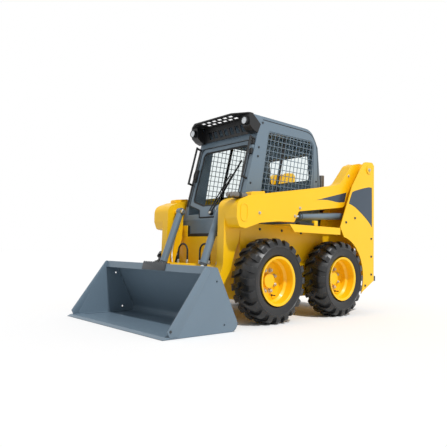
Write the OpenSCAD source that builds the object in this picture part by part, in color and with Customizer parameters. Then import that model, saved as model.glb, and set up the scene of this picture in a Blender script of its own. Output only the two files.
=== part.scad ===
// Skid steer loader with an enclosed cab and a general-purpose bucket.
// Millimetres, +Z up, front of the machine toward -Y, its left side toward +X.
// Heights are from the ground; lengths are from the front axle until the last move.

/* [Running gear] */
// Distance between the axles
wheelbase = 990; // [900:5:1100]
// Tyre diameter over the lug tips
tyre_d = 774; // [740:2:810]
// Tyre section width
tyre_w = 264; // [240:2:280]
// Width over the tyres
overall_w = 1514; // [1480:2:1560]
// Rim flange radius
rim_r = 224; // [210:1:235]
// Wheel stud circle radius
stud_circle_r = 102; // [90:1:115]
// Axle shaft radius
axle_r = 32; // [25:1:40]
// Diagonal lugs in each row of the tread
lug_count = 20; // [12:1:26]
// Lug height
lug_h = 24; // [15:1:32]
// Gap between a tyre and the side of the frame
side_gap = 28; // [22:1:36]
// Gap between a tyre and the arch of the tower
arch_gap = 55; // [45:1:65]

/* [Chassis] */
// Front panel distance ahead of the front axle
front_panel_y = 225; // [200:1:240]
// Height of the belly plate
belly_z = 205; // [180:1:240]
// Height of the frame rails beside the cab
rail_z = 915; // [880:1:918]
// Tower outer face inside the width over the tyres
tower_inset = 57; // [48:1:66]
// Rear face of the towers behind the front axle
tower_rear_y = 1646; // [1620:1:1670]
// Rear bumper depth
bumper_depth = 50; // [30:1:80]
// Tie-down hole radius in the rear bumper
tie_hole_r = 16; // [10:1:20]

/* [Loader arms] */
// Arm pivot behind the front axle
pivot_y = 1530; // [1500:1:1550]
// Arm pivot height
pivot_z = 1592; // [1570:1:1610]
// Arm pivot pin radius
pivot_r = 25; // [18:1:32]
// Arm beam width
arm_w = 115; // [105:1:125]
// Gap between the inner plate of the tower and the arm beam
arm_gap = 45; // [35:1:50]
// Lower leg width
leg_w = 89; // [80:1:96]
// Gap between a leg and a tyre
leg_gap = 15; // [12:1:22]
// Bucket hinge ahead of the front axle
hinge_y = 525; // [515:1:535]
// Bucket hinge height
hinge_z = 192; // [185:1:200]
// Bucket hinge pin radius
hinge_r = 22; // [16:1:28]

/* [Cylinders] */
// Lift cylinder base pin behind the front axle
lift_base_y = 1290; // [1260:1:1310]
// Lift cylinder base pin height
lift_base_z = 1060; // [1050:1:1070]
// Lift cylinder rod eye behind the front axle
lift_eye_y = 340; // [330:1:360]
// Lift cylinder rod eye height
lift_eye_z = 1000; // [990:1:1010]
// Lift cylinder barrel radius
lift_barrel_r = 37; // [32:1:40]
// Lift cylinder rod radius
lift_rod_r = 22; // [16:1:24]
// Tilt cylinder base pin ahead of the front axle
tilt_base_y = 332; // [320:1:345]
// Tilt cylinder base pin height
tilt_base_z = 1040; // [1030:1:1055]
// Tilt cylinder rod eye ahead of the front axle
tilt_eye_y = 588; // [580:1:592]
// Tilt cylinder rod eye height
tilt_eye_z = 365; // [350:1:380]
// Tilt cylinder centre inside the inner face of the leg
tilt_inset = 79; // [72:1:88]
// Tilt cylinder barrel radius
tilt_barrel_r = 35; // [30:1:38]
// Tilt cylinder rod radius
tilt_rod_r = 18; // [14:1:22]

/* [Bucket] */
// Bucket width over the side plates
bucket_w = 1585; // [1530:1:1650]
// Cutting edge distance ahead of the front axle
lip_y = 1282; // [1240:1:1320]
// Bucket sheet thickness
bucket_t = 9; // [6:1:12]
// Bucket top edge height
bucket_top_z = 528; // [500:1:550]
// Cutting edge depth from front to back
edge_d = 150; // [110:1:200]
// Cutting edge thickness
edge_t = 16; // [12:1:25]
// Side hole radius
side_hole_r = 9; // [6:0.5:12]

/* [Cab] */
// Cab side wall inside the side of the frame
cab_inset = 35; // [28:1:50]
// Side wall thickness
wall_t = 45; // [35:1:55]
// Roof height
roof_z = 1968; // [1930:1:2000]
// Rear wall outer face behind the front axle
cab_rear_y = 1000; // [980:1:1010]
// Rake of the front posts from upright
rake = 14.9; // [10:0.1:20]
// Door thickness
door_t = 30; // [22:1:38]
// Pitch of the side screen bars
mesh_pitch = 54; // [40:1:80]
// Side screen bar width
mesh_bar = 6; // [4:0.5:9]

/* [Fits] */
// Running clearance on a radius
run_clear = 0.3; // [0.2:0.05:0.6]
// Gap round a door or lid
door_gap = 6; // [4:0.5:10]

/* [Hidden] */
$fn = 48;
axle_z = tyre_d / 2;
wheel_x = (overall_w - tyre_w) / 2;
plate = 10;
tyre_in = overall_w / 2 - tyre_w;
frame_half_w = tyre_in - side_gap;
tower_in = frame_half_w + plate;
tower_x = overall_w / 2 - tower_inset;
leg_x1 = tyre_in - leg_gap;
leg_x0 = leg_x1 - leg_w;
arm_x0 = tower_in + arm_gap;
arm_x1 = arm_x0 + arm_w;
lift_x = (arm_x0 + arm_x1) / 2;
tilt_x = leg_x0 - tilt_inset;
cab_half_w = frame_half_w - cab_inset;
case_x = frame_half_w - 165;
engine_half_w = case_x - 50;
rear_reach = tower_rear_y + bumper_depth;
shift_y = (lip_y - rear_reach) / 2;
hub_x = wheel_x - 40;
fender_y0 = 190;
fender_y1 = wheelbase + 10;
bay_z = 1120;
lamp_x = cab_half_w - 36;
lamp_z = roof_z - 75;
lamp_r = 34;
stack_x = case_x - 85;
stack_y = cab_rear_y + 310;
stack_z = 1550;
hood_y = stack_y + 53;
hood_z = bay_z + 108;
hood_pin_x = case_x - 40;
seat_clear = 0.2;
knee_y = -front_panel_y - 11;
rear_pin_x = frame_half_w - 4;
rear_pin_y = tower_rear_y + 11;
cab_front_z = 960;
cab_front_y = 20 - front_panel_y;
inner_w = cab_half_w - wall_t;
hinge_pin_x = inner_w;
seat_half_w = inner_w - 140;
desk_x = inner_w - 120;
pane_half_w = inner_w - 75;
roof_front_y = cab_front_y + 267;
post_top_z = roof_z - 168;
head_top_z = roof_z - 38;
door_top = 806;
door_low = 20;
door_step = 100;
door_side = 160;
tongue_x0 = -170;
tongue_x1 = 150;
head_z = cab_front_z + (door_top + door_gap) * cos(rake);
lift_dy = lift_base_y - lift_eye_y;
lift_dz = lift_base_z - lift_eye_z;
lift_len = norm([lift_dy, lift_dz]);
lift_pitch = atan2(lift_dz, lift_dy);
tilt_dy = tilt_eye_y - tilt_base_y;
tilt_dz = tilt_base_z - tilt_eye_z;
tilt_len = norm([tilt_dy, tilt_dz]);
tilt_pitch = atan2(tilt_dy, tilt_dz);

// Outline helpers: corners [a, b, radius] become a smooth closed outline
function flat(v) = [v[0], v[1]];
function unit(v) = v / norm(v);
function bend(a, b, c, r, n = 5) =
  let (u = unit(a - b), v = unit(c - b), h = acos(u * v) / 2,
    m = b + unit(u + v) * r / sin(h),
    s = b + u * r / tan(h) - m, e = b + v * r / tan(h) - m, w = 180 - 2 * h)
  [for (i = [0:n]) m + (s * sin((1 - i / n) * w) + e * sin(i / n * w)) / sin(w)];
function smooth(p) = let (k = len(p)) [for (i = [0:k - 1])
  each (p[i][2] == 0 ? [flat(p[i])]
    : bend(flat(p[(i + k - 1) % k]), flat(p[i]), flat(p[(i + 1) % k]), p[i][2]))];

// A side outline (length, height) drawn out from x0 to x1
module across(x0, x1) {
  translate([x0, 0, 0]) rotate([90, 0, 90]) linear_extrude(x1 - x0) children();
}
module outline(p) polygon(smooth(p));
module rod_x(x0, x1, y, z, r) {
  translate([x0, y, z]) rotate([0, 90, 0]) cylinder(r = r, h = x1 - x0);
}
module block(x0, x1, y0, y1, z0, z1) {
  translate([x0, y0, z0]) cube([x1 - x0, y1 - y0, z1 - z0]);
}
module pair() {
  children();
  mirror([1, 0, 0]) children();
}
module placed() translate([0, shift_y, 0]) children();
// The plane of the front posts and door: z runs up the rake, y points into the cab
module raked() translate([0, cab_front_y, cab_front_z]) rotate([-rake, 0, 0]) children();

// Chassis
module main_frame() color("gold") placed() {
  pair() {
    across(frame_half_w - plate, frame_half_w) outline([
      [-front_panel_y, belly_z, 0], [1400, belly_z, 0], [tower_rear_y - 50, 300, 0],
      [tower_rear_y - 50, bay_z, 0], [cab_rear_y + 30, bay_z, 60], [cab_rear_y - 40, rail_z, 60],
      [-front_panel_y, rail_z, 60]]);
    block(case_x, frame_half_w - plate, -front_panel_y + plate, cab_rear_y + 180, belly_z + plate, 560);
  }
  block(-frame_half_w + plate, frame_half_w - plate, -front_panel_y, 1400, belly_z, belly_z + plate);
  block(-frame_half_w + plate, frame_half_w - plate, -front_panel_y, -front_panel_y + plate,
    belly_z + plate, 790);
  block(-frame_half_w + plate, frame_half_w - plate, cab_rear_y + 40, cab_rear_y + 50, belly_z + plate, 900);
}
module fenders() color("gold") placed() pair() {
  block(frame_half_w, tower_x - 8, fender_y0, fender_y1, rail_z - 8, rail_z);
  across(tower_x - 8, tower_x) outline([
    [fender_y0, rail_z, 0], [fender_y0 + 72, rail_z - 73, 20], [fender_y1, rail_z - 73, 0], [fender_y1, rail_z, 0]]);
}
module tower_plate(x0) {
  difference() {
    across(x0, x0 + plate) outline([
      [fender_y1 + 1, rail_z + 9, 0], [wheelbase + 150, axle_z + 320, 0], [wheelbase + 400, axle_z - 180, 0],
      [wheelbase + 420, 230, 20], [tower_rear_y - plate, 344, 20], [tower_rear_y - plate, pivot_z + 98, 40],
      [pivot_y - 90, pivot_z + 80, 90], [pivot_y - 314, pivot_z - 212, 120]]);
    rod_x(x0 - 1, x0 + plate + 1, pivot_y, pivot_z, pivot_r - 1);
    rod_x(x0 - 1, x0 + plate + 1, wheelbase, axle_z, tyre_d / 2 + arch_gap);
  }
}
module tower() {
  tower_plate(tower_x - plate);
  across(frame_half_w, tower_in) outline([
    [fender_y1 + 60, rail_z + 9, 0], [fender_y1 + 250, rail_z + 9, 0], [tower_rear_y - plate, 700, 0],
    [tower_rear_y - plate, pivot_z + 98, 40], [pivot_y - 90, pivot_z + 80, 90], [pivot_y - 314, pivot_z - 212, 120]]);
  block(frame_half_w, tower_x, tower_rear_y - plate, tower_rear_y, 344, pivot_z + 68);
  rod_x(tower_in - 1, tower_x + 6, pivot_y, pivot_z, pivot_r);
  rod_x(tower_x - plate, tower_x + 10, pivot_y, pivot_z, 44);
  rod_x(tower_in - 1, tower_x - plate + 1, lift_base_y, lift_base_z, 20);
}
module door_hinges() for (z = [500, 950]) {
  translate([rear_pin_x, rear_pin_y, z]) cylinder(r = 10, h = 30);
  translate([rear_pin_x, rear_pin_y, z]) cylinder(r = 5, h = 60);
  block(rear_pin_x, rear_pin_x + 34, tower_rear_y, rear_pin_y + 6, z, z + 30);
}
module tower_left() color("gold") placed() {
  tower();
  door_hinges();
}
module tower_right() color("gold") placed() mirror([1, 0, 0]) tower();
module engine_block() color("dimgray") placed() {
  block(-engine_half_w, engine_half_w, cab_rear_y + 80, tower_rear_y - 106, 400, 900);
  block(-engine_half_w + 90, engine_half_w - 90, cab_rear_y + 120, tower_rear_y - 146, 900, 1010);
  block(-case_x + 2, case_x - 2, cab_rear_y + 150, tower_rear_y - 246, belly_z + plate, 400);
}
module axle_tubes() color("dimgray") placed() pair() for (y = [0, wheelbase]) {
  difference() {
    rod_x(frame_half_w, hub_x - 20, y, axle_z, 62);
    rod_x(frame_half_w + 25, hub_x, y, axle_z, axle_r + run_clear);
  }
  rod_x(frame_half_w, frame_half_w + 14, y, axle_z, 95);
}
module rear_bumper() color("dimgray") placed() {
  difference() {
    block(-tower_x + 12, tower_x - 12, tower_rear_y, rear_reach, 346, 402);
    pair() translate([tower_x - 140, tower_rear_y + bumper_depth / 2, 340]) cylinder(r = tie_hole_r, h = 70);
  }
}
module lamps() color("white") placed() {
  pair() translate([lamp_x, roof_front_y - 166, lamp_z]) rotate([90, 0, 0]) cylinder(r = lamp_r, h = 28);
  pair() translate([tower_x - 120, tower_rear_y, 1480]) rotate([-90, 0, 0]) cylinder(r = 45, h = 22);
}
module exhaust() color("dimgray") placed() translate([stack_x, stack_y, 0]) difference() {
  union() {
    translate([0, 0, 900]) cylinder(r = 32, h = stack_z - 900);
    translate([0, 0, 900]) cylinder(r = 44, h = 20);
  }
  translate([0, 0, 1150]) cylinder(r = 28, h = stack_z);
}

// Cab
function front_y(z) = cab_front_y + (z - cab_front_z) * tan(rake);
module cab_side_outline() outline([
  [cab_front_y, 800, 0], [cab_front_y, cab_front_z, 0], [front_y(post_top_z), post_top_z, 0],
  [roof_front_y, roof_z - 40, 0], [roof_front_y, roof_z, 20], [cab_rear_y - 160, roof_z, 170],
  [cab_rear_y - 45, roof_z - 178, 0], [cab_rear_y, 1400, 0], [cab_rear_y, rail_z + 5, 0],
  [cab_front_y + 55, rail_z + 5, 0], [cab_front_y + 55, 800, 0]]);
// The side window, set in by a clearance
module cab_window(c = 0) outline([
  [cab_front_y + 249 + c, 1085 + c, 40], [cab_front_y + 377 + c, roof_z - 130 - c, 40],
  [cab_rear_y - 116 - c, roof_z - 118 - c, 60], [cab_rear_y - 116 - c, 1085 + c, 40]]);
module cab_side() {
  difference() {
    across(inner_w, cab_half_w) cab_side_outline();
    across(inner_w - 1, cab_half_w + 1) cab_window();
  }
  raked() for (s = [160, 700]) {
    translate([hinge_pin_x, -16, s]) cylinder(r = 9, h = 34);
    translate([hinge_pin_x, -22, s]) cube([cab_half_w - 8 - hinge_pin_x, 12, 34]);
    translate([hinge_pin_x + 14, -22, s]) cube([cab_half_w - 8 - hinge_pin_x - 14, 30, 34]);
    translate([hinge_pin_x, -16, s]) cylinder(r = 5, h = 72);
  }
}
module cab_left_side() color("slategray") placed() cab_side();
module cab_right_side() color("slategray") placed() mirror([1, 0, 0]) difference() {
  across(inner_w, cab_half_w) cab_side_outline();
  across(inner_w - 1, cab_half_w + 1) cab_window();
}
module cab_roof() color("slategray") placed() {
  across(-inner_w, inner_w) outline([
    [roof_front_y, roof_z - 40, 0], [roof_front_y, roof_z, 20], [cab_rear_y - 160, roof_z, 170],
    [cab_rear_y - 45, roof_z - 178, 0], [cab_rear_y - 85, roof_z - 178, 0], [cab_rear_y - 176, roof_z - 40, 130]]);
  across(-inner_w, inner_w) outline([
    [front_y(head_z), head_z, 0], [front_y(head_z) + 40, head_z, 0], [roof_front_y + 44, head_top_z, 0],
    [roof_front_y, head_top_z, 0], [front_y(post_top_z), post_top_z, 0]]);
}
// The rear window, set in by a clearance
module rear_pane(c = 0) outline([
  [-pane_half_w + c, 1440 + c, 50], [pane_half_w - c, 1440 + c, 50], [pane_half_w - c, roof_z - 228 - c, 50],
  [-pane_half_w + c, roof_z - 228 - c, 50]]);
module cab_rear_wall() color("slategray") placed() difference() {
  across(-inner_w, inner_w) outline([
    [cab_rear_y - 40, rail_z + 5, 0], [cab_rear_y, rail_z + 5, 0], [cab_rear_y, 1400, 0],
    [cab_rear_y - 45, roof_z - 178, 0], [cab_rear_y - 85, roof_z - 178, 0], [cab_rear_y - 40, 1400, 0]]);
  translate([0, cab_rear_y + 20, 0]) rotate([90, 0, 0]) linear_extrude(200) rear_pane();
}
module cab_floor() color("dimgray") placed() {
  block(-inner_w, inner_w, cab_front_y + 65, 500, 640, 655);
  block(-inner_w + 85, inner_w - 85, cab_front_y + 15, cab_front_y + 65, 640, 655);
  difference() {
    block(-inner_w, inner_w, cab_front_y, cab_front_y + 15, 640, 1100);
    raked() translate([0, -60, 0]) rotate([90, 0, 0]) translate([0, 0, -200]) linear_extrude(400)
      offset_door(door_gap);
    raked() translate([-500, -100, -60]) cube([1000, 100, 400]);
  }
  block(-inner_w, inner_w, 485, 500, 655, 900);
  block(-inner_w, inner_w, 500, cab_rear_y - 41, 885, 900);
}
module screen(x0, x1) {
  difference() {
    across(x0, x1) cab_window(run_clear);
    for (i = [0:14]) for (j = [0:13])
      translate([x0 - 1, 72 + i * mesh_pitch, 1106 + j * mesh_pitch])
        if (in_screen(72 + i * mesh_pitch, 1106 + j * mesh_pitch))
          cube([x1 - x0 + 2, mesh_pitch - mesh_bar, mesh_pitch - mesh_bar]);
  }
}
function in_screen(y, z) = y > 54 + 20 + (z + mesh_pitch - 1093) * 0.171 && y + mesh_pitch < 880
  && z + mesh_pitch < 1836;
module screen_left() color("silver") placed() screen(cab_half_w - 10, cab_half_w - 4);
module screen_right() color("silver") placed() mirror([1, 0, 0]) screen(cab_half_w - 10, cab_half_w - 4);
module cab_glass() color("lightblue") placed() {
  pair() across(inner_w + 8, inner_w + 14) cab_window(run_clear);
  multmatrix([[1, 0, 0, 0], [0, 1, -0.1154, 161.5 + cab_rear_y - 20], [0, 0, 1, 0]])
    translate([0, 3, 0]) rotate([90, 0, 0]) linear_extrude(6)
    rear_pane(0.5);
}
module visor() color("black") placed() {
  difference() {
    across(-cab_half_w - 3, cab_half_w + 3) outline([
      [roof_front_y - run_clear, roof_z + 2, 0], [roof_front_y - 150, roof_z + 2, 30],
      [roof_front_y - 190, roof_z - 118, 20], [roof_front_y - 174, roof_z - 156, 10],
      [roof_front_y - 48, roof_z - 162, 0], [roof_front_y - 5, roof_z - 42, 0],
      [roof_front_y - run_clear, roof_z - 37, 0]]);
    across(-cab_half_w + 60, cab_half_w - 60) outline([
      [roof_front_y - 14, roof_z - 14, 0], [roof_front_y - 138, roof_z - 14, 20],
      [roof_front_y - 168, roof_z - 128, 0], [roof_front_y - 162, roof_z - 268, 0],
      [roof_front_y - 32, roof_z - 268, 0]]);
    pair() translate([lamp_x, roof_front_y - 165.7, lamp_z]) rotate([90, 0, 0]) cylinder(r = lamp_r + run_clear, h = 60);
  }
}
module grab_handles() color("black") placed() pair() {
  raked() translate([cab_half_w - 22, 0, 0]) {
    for (s = [395, 800]) translate([0, -60, s]) rotate([-90, 0, 0]) cylinder(r = 11, h = 60 - run_clear);
    translate([0, -60, 384]) cylinder(r = 11, h = 427);
  }
}
module seat() color("black") placed() {
  block(-seat_half_w + 5, seat_half_w - 5, 520, 860, 900, 960);
  across(-seat_half_w, seat_half_w) outline([[480, 960, 30], [480, 1040, 40], [800, 1030, 0], [860, 1380, 30],
    [930, 1380, 30], [880, 960, 20]]);
}
module controls() color("black") placed() {
  pair() {
    block(desk_x, desk_x + 80, 420, 800, 1080, 1130);
    block(desk_x + 25, desk_x + 65, 600, 700, 900, 1080);
    translate([desk_x + 40, 450, 1130]) cylinder(r = 12, h = 110);
    translate([desk_x + 40, 450, 1240]) cylinder(r = 24, h = 70);
  }
}

// Front door, in the raked plane
module door_outline(g) outline([
  [-inner_w + g, door_side, 20], [tongue_x0 - 22, door_step, 30], [tongue_x0, door_low, 30],
  [tongue_x1, door_low, 30], [tongue_x1 + 22, door_step, 30], [inner_w - g, door_side, 20],
  [inner_w - g, door_top, 50], [-inner_w + g, door_top, 50]]);
module offset_door(g) polygon([
  [-inner_w - 1, door_side - g], [tongue_x0 - 22 - g, door_step - g], [tongue_x0 - g, door_low - g],
  [tongue_x1 + g, door_low - g], [tongue_x1 + 22 + g, door_step - g], [inner_w + 1, door_side - g],
  [inner_w + 1, 900], [-inner_w - 1, 900]]);
// The door pane, set in by a clearance
module door_pane(c = 0) outline([
  [-inner_w + 46 + c, door_side + 40 + c, 40], [tongue_x0 + 20, door_step + 40 + c, 40],
  [tongue_x1 - 20, door_step + 40 + c, 40], [inner_w - 46 - c, door_side + 40 + c, 40],
  [inner_w - 46 - c, door_top - 46 - c, 50], [-inner_w + 46 + c, door_top - 46 - c, 50]]);
module slab(y0, y1) translate([0, y1, 0]) rotate([90, 0, 0]) linear_extrude(y1 - y0) children();
module door_frame() color("slategray") placed() raked() {
  difference() {
    slab(0, door_t) difference() {
      door_outline(door_gap);
      door_pane();
    }
    for (s = [155, 695]) translate([hinge_pin_x - 22, -2, s]) cube([40, door_t + 4, 44]);
  }
  for (s = [195, 735]) difference() {
    union() {
      translate([hinge_pin_x, -16, s]) cylinder(r = 9, h = 34);
      translate([hinge_pin_x - 40, -22, s]) cube([40, 12, 34]);
      translate([hinge_pin_x - 40, -22, s]) cube([20, 30, 34]);
    }
    translate([hinge_pin_x, -16, s - 1]) cylinder(r = 5 + run_clear, h = 40);
  }
}
module door_glass() color("lightblue") placed() raked() slab(10, 16) door_pane(0.5);
module wiper() color("black") placed() raked() translate([20, 0, 60]) {
  rotate([90, 0, 0]) cylinder(r = 22, h = 28);
  rotate([0, 28, 0]) {
    translate([-6, -25, 0]) cube([12, 9, 440]);
    translate([-4, -19, 240]) cube([8, 15, 360]);
  }
}

// Rear doors
module rear_door() color("gold") placed() {
  difference() {
    block(-frame_half_w + plate + door_gap, frame_half_w - plate - door_gap, tower_rear_y - 40,
      tower_rear_y - 6, 410, bay_z - 10);
    for (k = [0:9]) block(-case_x - 20, case_x + 20, tower_rear_y - 50, tower_rear_y, 520 + k * 46, 544 + k * 46);
  }
  for (z = [531, 981]) difference() {
    union() {
      translate([rear_pin_x, rear_pin_y, z]) cylinder(r = 10, h = 30);
      block(rear_pin_x - 44, rear_pin_x, rear_pin_y - 4, rear_pin_y + 6, z, z + 30);
      block(rear_pin_x - 44, rear_pin_x - 16, tower_rear_y - 8, rear_pin_y + 6, z, z + 30);
    }
    translate([rear_pin_x, rear_pin_y, z - 1]) cylinder(r = 5 + run_clear, h = 40);
  }
}
// The engine cover's outline, and the same set in by its thickness
module cover_outline(t) outline([
  [cab_rear_y + 12 + t, bay_z + 1, 0], [tower_rear_y - 6 - t, bay_z + 1, 0], [tower_rear_y - 6 - t, bay_z + 60 - t, 30],
  [cab_rear_y + 60, bay_z + 140 - t, 40], [cab_rear_y + 12 + t, bay_z + 120 - t, 10]]);
module cover(w) difference() {
  across(-w, w) cover_outline(0);
  across(-w + 12, w - 12) translate([0, -1]) cover_outline(12);
}
module cowl() color("gold") placed() {
  difference() {
    cover(frame_half_w);
    block(-700, 700, hood_y - 3, 2000, 1000, 1400);
    translate([stack_x, stack_y, 900]) cylinder(r = 32.3, h = 600);
  }
  pair() {
    block(hood_pin_x, hood_pin_x + 36, hood_y - 40, hood_y - 14, hood_z - 23, hood_z - 6);
    block(hood_pin_x, hood_pin_x + 36, hood_y - 40, hood_y, hood_z - 6, hood_z + 6);
    rod_x(hood_pin_x, hood_pin_x + 36, hood_y, hood_z, 9);
    rod_x(hood_pin_x, hood_pin_x + 72, hood_y, hood_z, 5);
  }
}
module hood() color("gold") placed() {
  difference() {
    cover(frame_half_w - 1);
    block(-700, 700, 0, hood_y + 3, 1000, 1400);
    pair() block(hood_pin_x - 6, hood_pin_x + 80, hood_y, hood_y + 16, bay_z + 70, bay_z + 140);
  }
  pair() difference() {
    union() {
      block(hood_pin_x + 37, hood_pin_x + 71, hood_y, hood_y + 40, hood_z - 6, hood_z + 6);
      block(hood_pin_x + 37, hood_pin_x + 71, hood_y + 18, hood_y + 40, hood_z - 28, hood_z + 6);
      rod_x(hood_pin_x + 37, hood_pin_x + 71, hood_y, hood_z, 9);
    }
    rod_x(hood_pin_x + 30, hood_pin_x + 80, hood_y, hood_z, 5 + run_clear);
  }
}

// Loader arms
module arm_beam() outline([
  [-431, 940, 40], [-400, 862, 40], [-320, 852, 40], [-137, 910, 60], [105, 936, 0], [335, 940, 20],
  [400, 1050, 30], [1130, 1142, 60], [1300, 1230, 80], [pivot_y - 50, pivot_z - 72, 0],
  [pivot_y + 70, pivot_z - 32, 50], [pivot_y + 50, pivot_z + 68, 60], [pivot_y - 90, pivot_z + 68, 60],
  [pivot_y - 230, pivot_z + 38, 120], [1080, 1388, 150], [818, 1333, 0], [-151, 1170, 0], [-280, 1148, 60],
  [-431, 1090, 90]]);
module arm() {
  difference() {
    union() {
      across(arm_x0, arm_x1) arm_beam();
      across(leg_x0, arm_x1) outline([
        [-431, 940, 40], [-400, 862, 40], [-320, 852, 40], [knee_y, 882, 20], [knee_y, 1100, 40], [-300, 1140, 60],
        [-431, 1090, 90]]);
      across(leg_x0, leg_x1) outline([
        [-431, 1000, 0], [-440, 500, 200], [-hinge_y - 48, hinge_z + 70, 60], [-hinge_y - 48, hinge_z - 48, 46],
        [-hinge_y + 48, hinge_z - 48, 46], [-hinge_y + 90, hinge_z + 150, 100], [-345, 480, 120],
        [-301, 632, 100], [knee_y - 10, 760, 60], [knee_y, 900, 60], [knee_y, 1000, 0]]);
      rod_x(tower_in + 10, tower_x - plate - 10, pivot_y, pivot_z, 70);
      rod_x(tilt_x - tilt_barrel_r - 12, leg_x0 + 5, -tilt_base_y, tilt_base_z, 20);
      across(arm_x0 + 20, arm_x1 - 20) outline([
        [-240, 1140, 0], [-240, 1186, 20], [-64, 1206, 10], [-64, 1150, 0]]);
    }
    rod_x(tower_in, tower_x, pivot_y, pivot_z, pivot_r + run_clear);
    rod_x(leg_x0 - 1, leg_x1 + 1, -hinge_y, hinge_z, hinge_r + run_clear);
    block(lift_x - 44, lift_x + 44, lift_eye_y - 75, 520, 900, lift_eye_z + 62);
  }
}
module arm_left() color("gold") placed() arm();
module arm_right() color("gold") placed() mirror([1, 0, 0]) arm();
module cross_tube() color("gold") placed() rod_x(-leg_x0, leg_x0, -395, 480, 45);
module hoses() color("black") placed() pair() {
  translate([tilt_x - 70, -395, 525]) cylinder(r = 12, h = 60);
}

// Coupler and bucket
function back_y(z) = -hinge_y - 31 - (z - 88) * 220 / 428;
function hitch_y(z) = back_y(z) + seat_clear;
module hitch() color("slategray") placed() {
  difference() {
    across(-leg_x1 - 42, leg_x1 + 42) outline([
      [hitch_y(110) + 13, 110, 0], [hitch_y(440) + 13, 440, 0], [hitch_y(440), 440, 0], [hitch_y(110), 110, 0]]);
    pair() block(tilt_x - 32, tilt_x + 32, -lip_y, 0, 290, 460);
  }
  pair() {
    for (x = [leg_x0 - 6 - 14, leg_x1 + 6]) across(x, x + 14) outline([
      [hitch_y(110), 110, 0], [hitch_y(330), 330, 0], [-hinge_y - 30, hinge_z + 80, 40],
      [-hinge_y + 55, hinge_z + 50, 50], [-hinge_y + 50, hinge_z - 50, 40]]);
    rod_x(leg_x0 - 10, leg_x1 + 10, -hinge_y, hinge_z, hinge_r);
    for (x = [tilt_x - 44, tilt_x + 32]) across(x, x + 12) outline([
      [hitch_y(240), 240, 0], [hitch_y(430), 430, 0], [-tilt_eye_y + 30, tilt_eye_z + 40, 40],
      [-tilt_eye_y + 40, tilt_eye_z - 40, 40]]);
  }
}
heel_y = back_y(2);
module bucket_section() difference() {
  outline([
    [-lip_y + edge_d, 2, 0], [heel_y, 2, 60], [back_y(bucket_top_z - 12), bucket_top_z - 12, 6],
    [-880, bucket_top_z, 6], [-892, bucket_top_z - 60, 0]]);
  outline([
    [-lip_y - 10, 2 + bucket_t, 0], [back_y(2 + bucket_t) - 1.124 * bucket_t, 2 + bucket_t, 52],
    [back_y(bucket_top_z - 12 - bucket_t) - 1.124 * bucket_t, bucket_top_z - 12 - bucket_t, 0],
    [-880 + bucket_t, bucket_top_z - bucket_t, 0], [-892 + bucket_t, bucket_top_z - 61, 0],
    [-lip_y - 10, bucket_top_z - 61, 0]]);
}
module bucket_shell() color("slategray") placed()
  across(-bucket_w / 2 + plate, bucket_w / 2 - plate) bucket_section();
module bucket_side() difference() {
  across(bucket_w / 2 - plate, bucket_w / 2) outline([
    [-lip_y + 104, edge_t + 2, 12], [-lip_y + edge_d, edge_t + 2, 0], [-lip_y + edge_d, 2, 0], [heel_y, 2, 60],
    [back_y(bucket_top_z - 12), bucket_top_z - 12, 10], [-894, bucket_top_z + 2, 15]]);
  for (p = [[-780, 408], [-692, 64]])
    rod_x(bucket_w / 2 - plate - 1, bucket_w / 2 + 1, p[0], p[1], side_hole_r);
}
module bucket_side_left() color("slategray") placed() bucket_side();
module bucket_side_right() color("slategray") placed() mirror([1, 0, 0]) bucket_side();
module cutting_edge() color("gray") placed()
  across(-bucket_w / 2, bucket_w / 2) outline([
    [-lip_y, 2, 0], [-lip_y + edge_d, 2, 0], [-lip_y + edge_d, 2 + edge_t, 0], [-lip_y + 34, 2 + edge_t, 0]]);

// Cylinders
module along_lift() for (s = [-1, 1]) translate([s * lift_x, lift_base_y, lift_base_z])
  rotate([lift_pitch, 0, 0]) children();
module lift_barrels() color("slategray") placed() along_lift() difference() {
  union() {
    rod_x(-32, 32, 0, 0, 42);
    translate([0, -30, 0]) rotate([90, 0, 0]) cylinder(r = lift_barrel_r, h = lift_len - 150);
    translate([0, -lift_len + 170, 0]) rotate([90, 0, 0]) cylinder(r = lift_barrel_r + 3, h = 40);
  }
  rod_x(-40, 40, 0, 0, 20 + run_clear);
  translate([0, -60, 0]) rotate([90, 0, 0]) cylinder(r = lift_rod_r + 7, h = lift_len - 225);
  translate([0, -70, 0]) rotate([90, 0, 0]) cylinder(r = lift_rod_r + run_clear, h = lift_len);
}
module lift_rods() color("silver") placed() along_lift() {
  translate([0, -80, 0]) rotate([90, 0, 0]) cylinder(r = lift_rod_r, h = lift_len - 100);
  rod_x(-30, 30, -lift_len, 0, 38);
}
module along_tilt() for (s = [-1, 1]) translate([s * tilt_x, -tilt_base_y, tilt_base_z])
  rotate([-tilt_pitch, 0, 0]) children();
module tilt_barrels() color("slategray") placed() along_tilt() difference() {
  union() {
    rod_x(-25, 25, 0, 0, 38);
    translate([0, 0, -tilt_len + 175]) cylinder(r = tilt_barrel_r, h = tilt_len - 200);
    translate([0, 0, -tilt_len + 165]) cylinder(r = tilt_barrel_r + 3, h = 40);
  }
  rod_x(-40, 40, 0, 0, 20 + run_clear);
  translate([0, 0, -tilt_len + 230]) cylinder(r = tilt_rod_r + 8, h = tilt_len - 290);
  translate([0, 0, -tilt_len + 100]) cylinder(r = tilt_rod_r + run_clear, h = tilt_len - 170);
}
module tilt_rods() color("silver") placed() along_tilt() {
  translate([0, 0, -tilt_len + 20]) cylinder(r = tilt_rod_r, h = tilt_len - 150);
  rod_x(-24, 24, 0, -tilt_len, 36);
}

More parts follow.
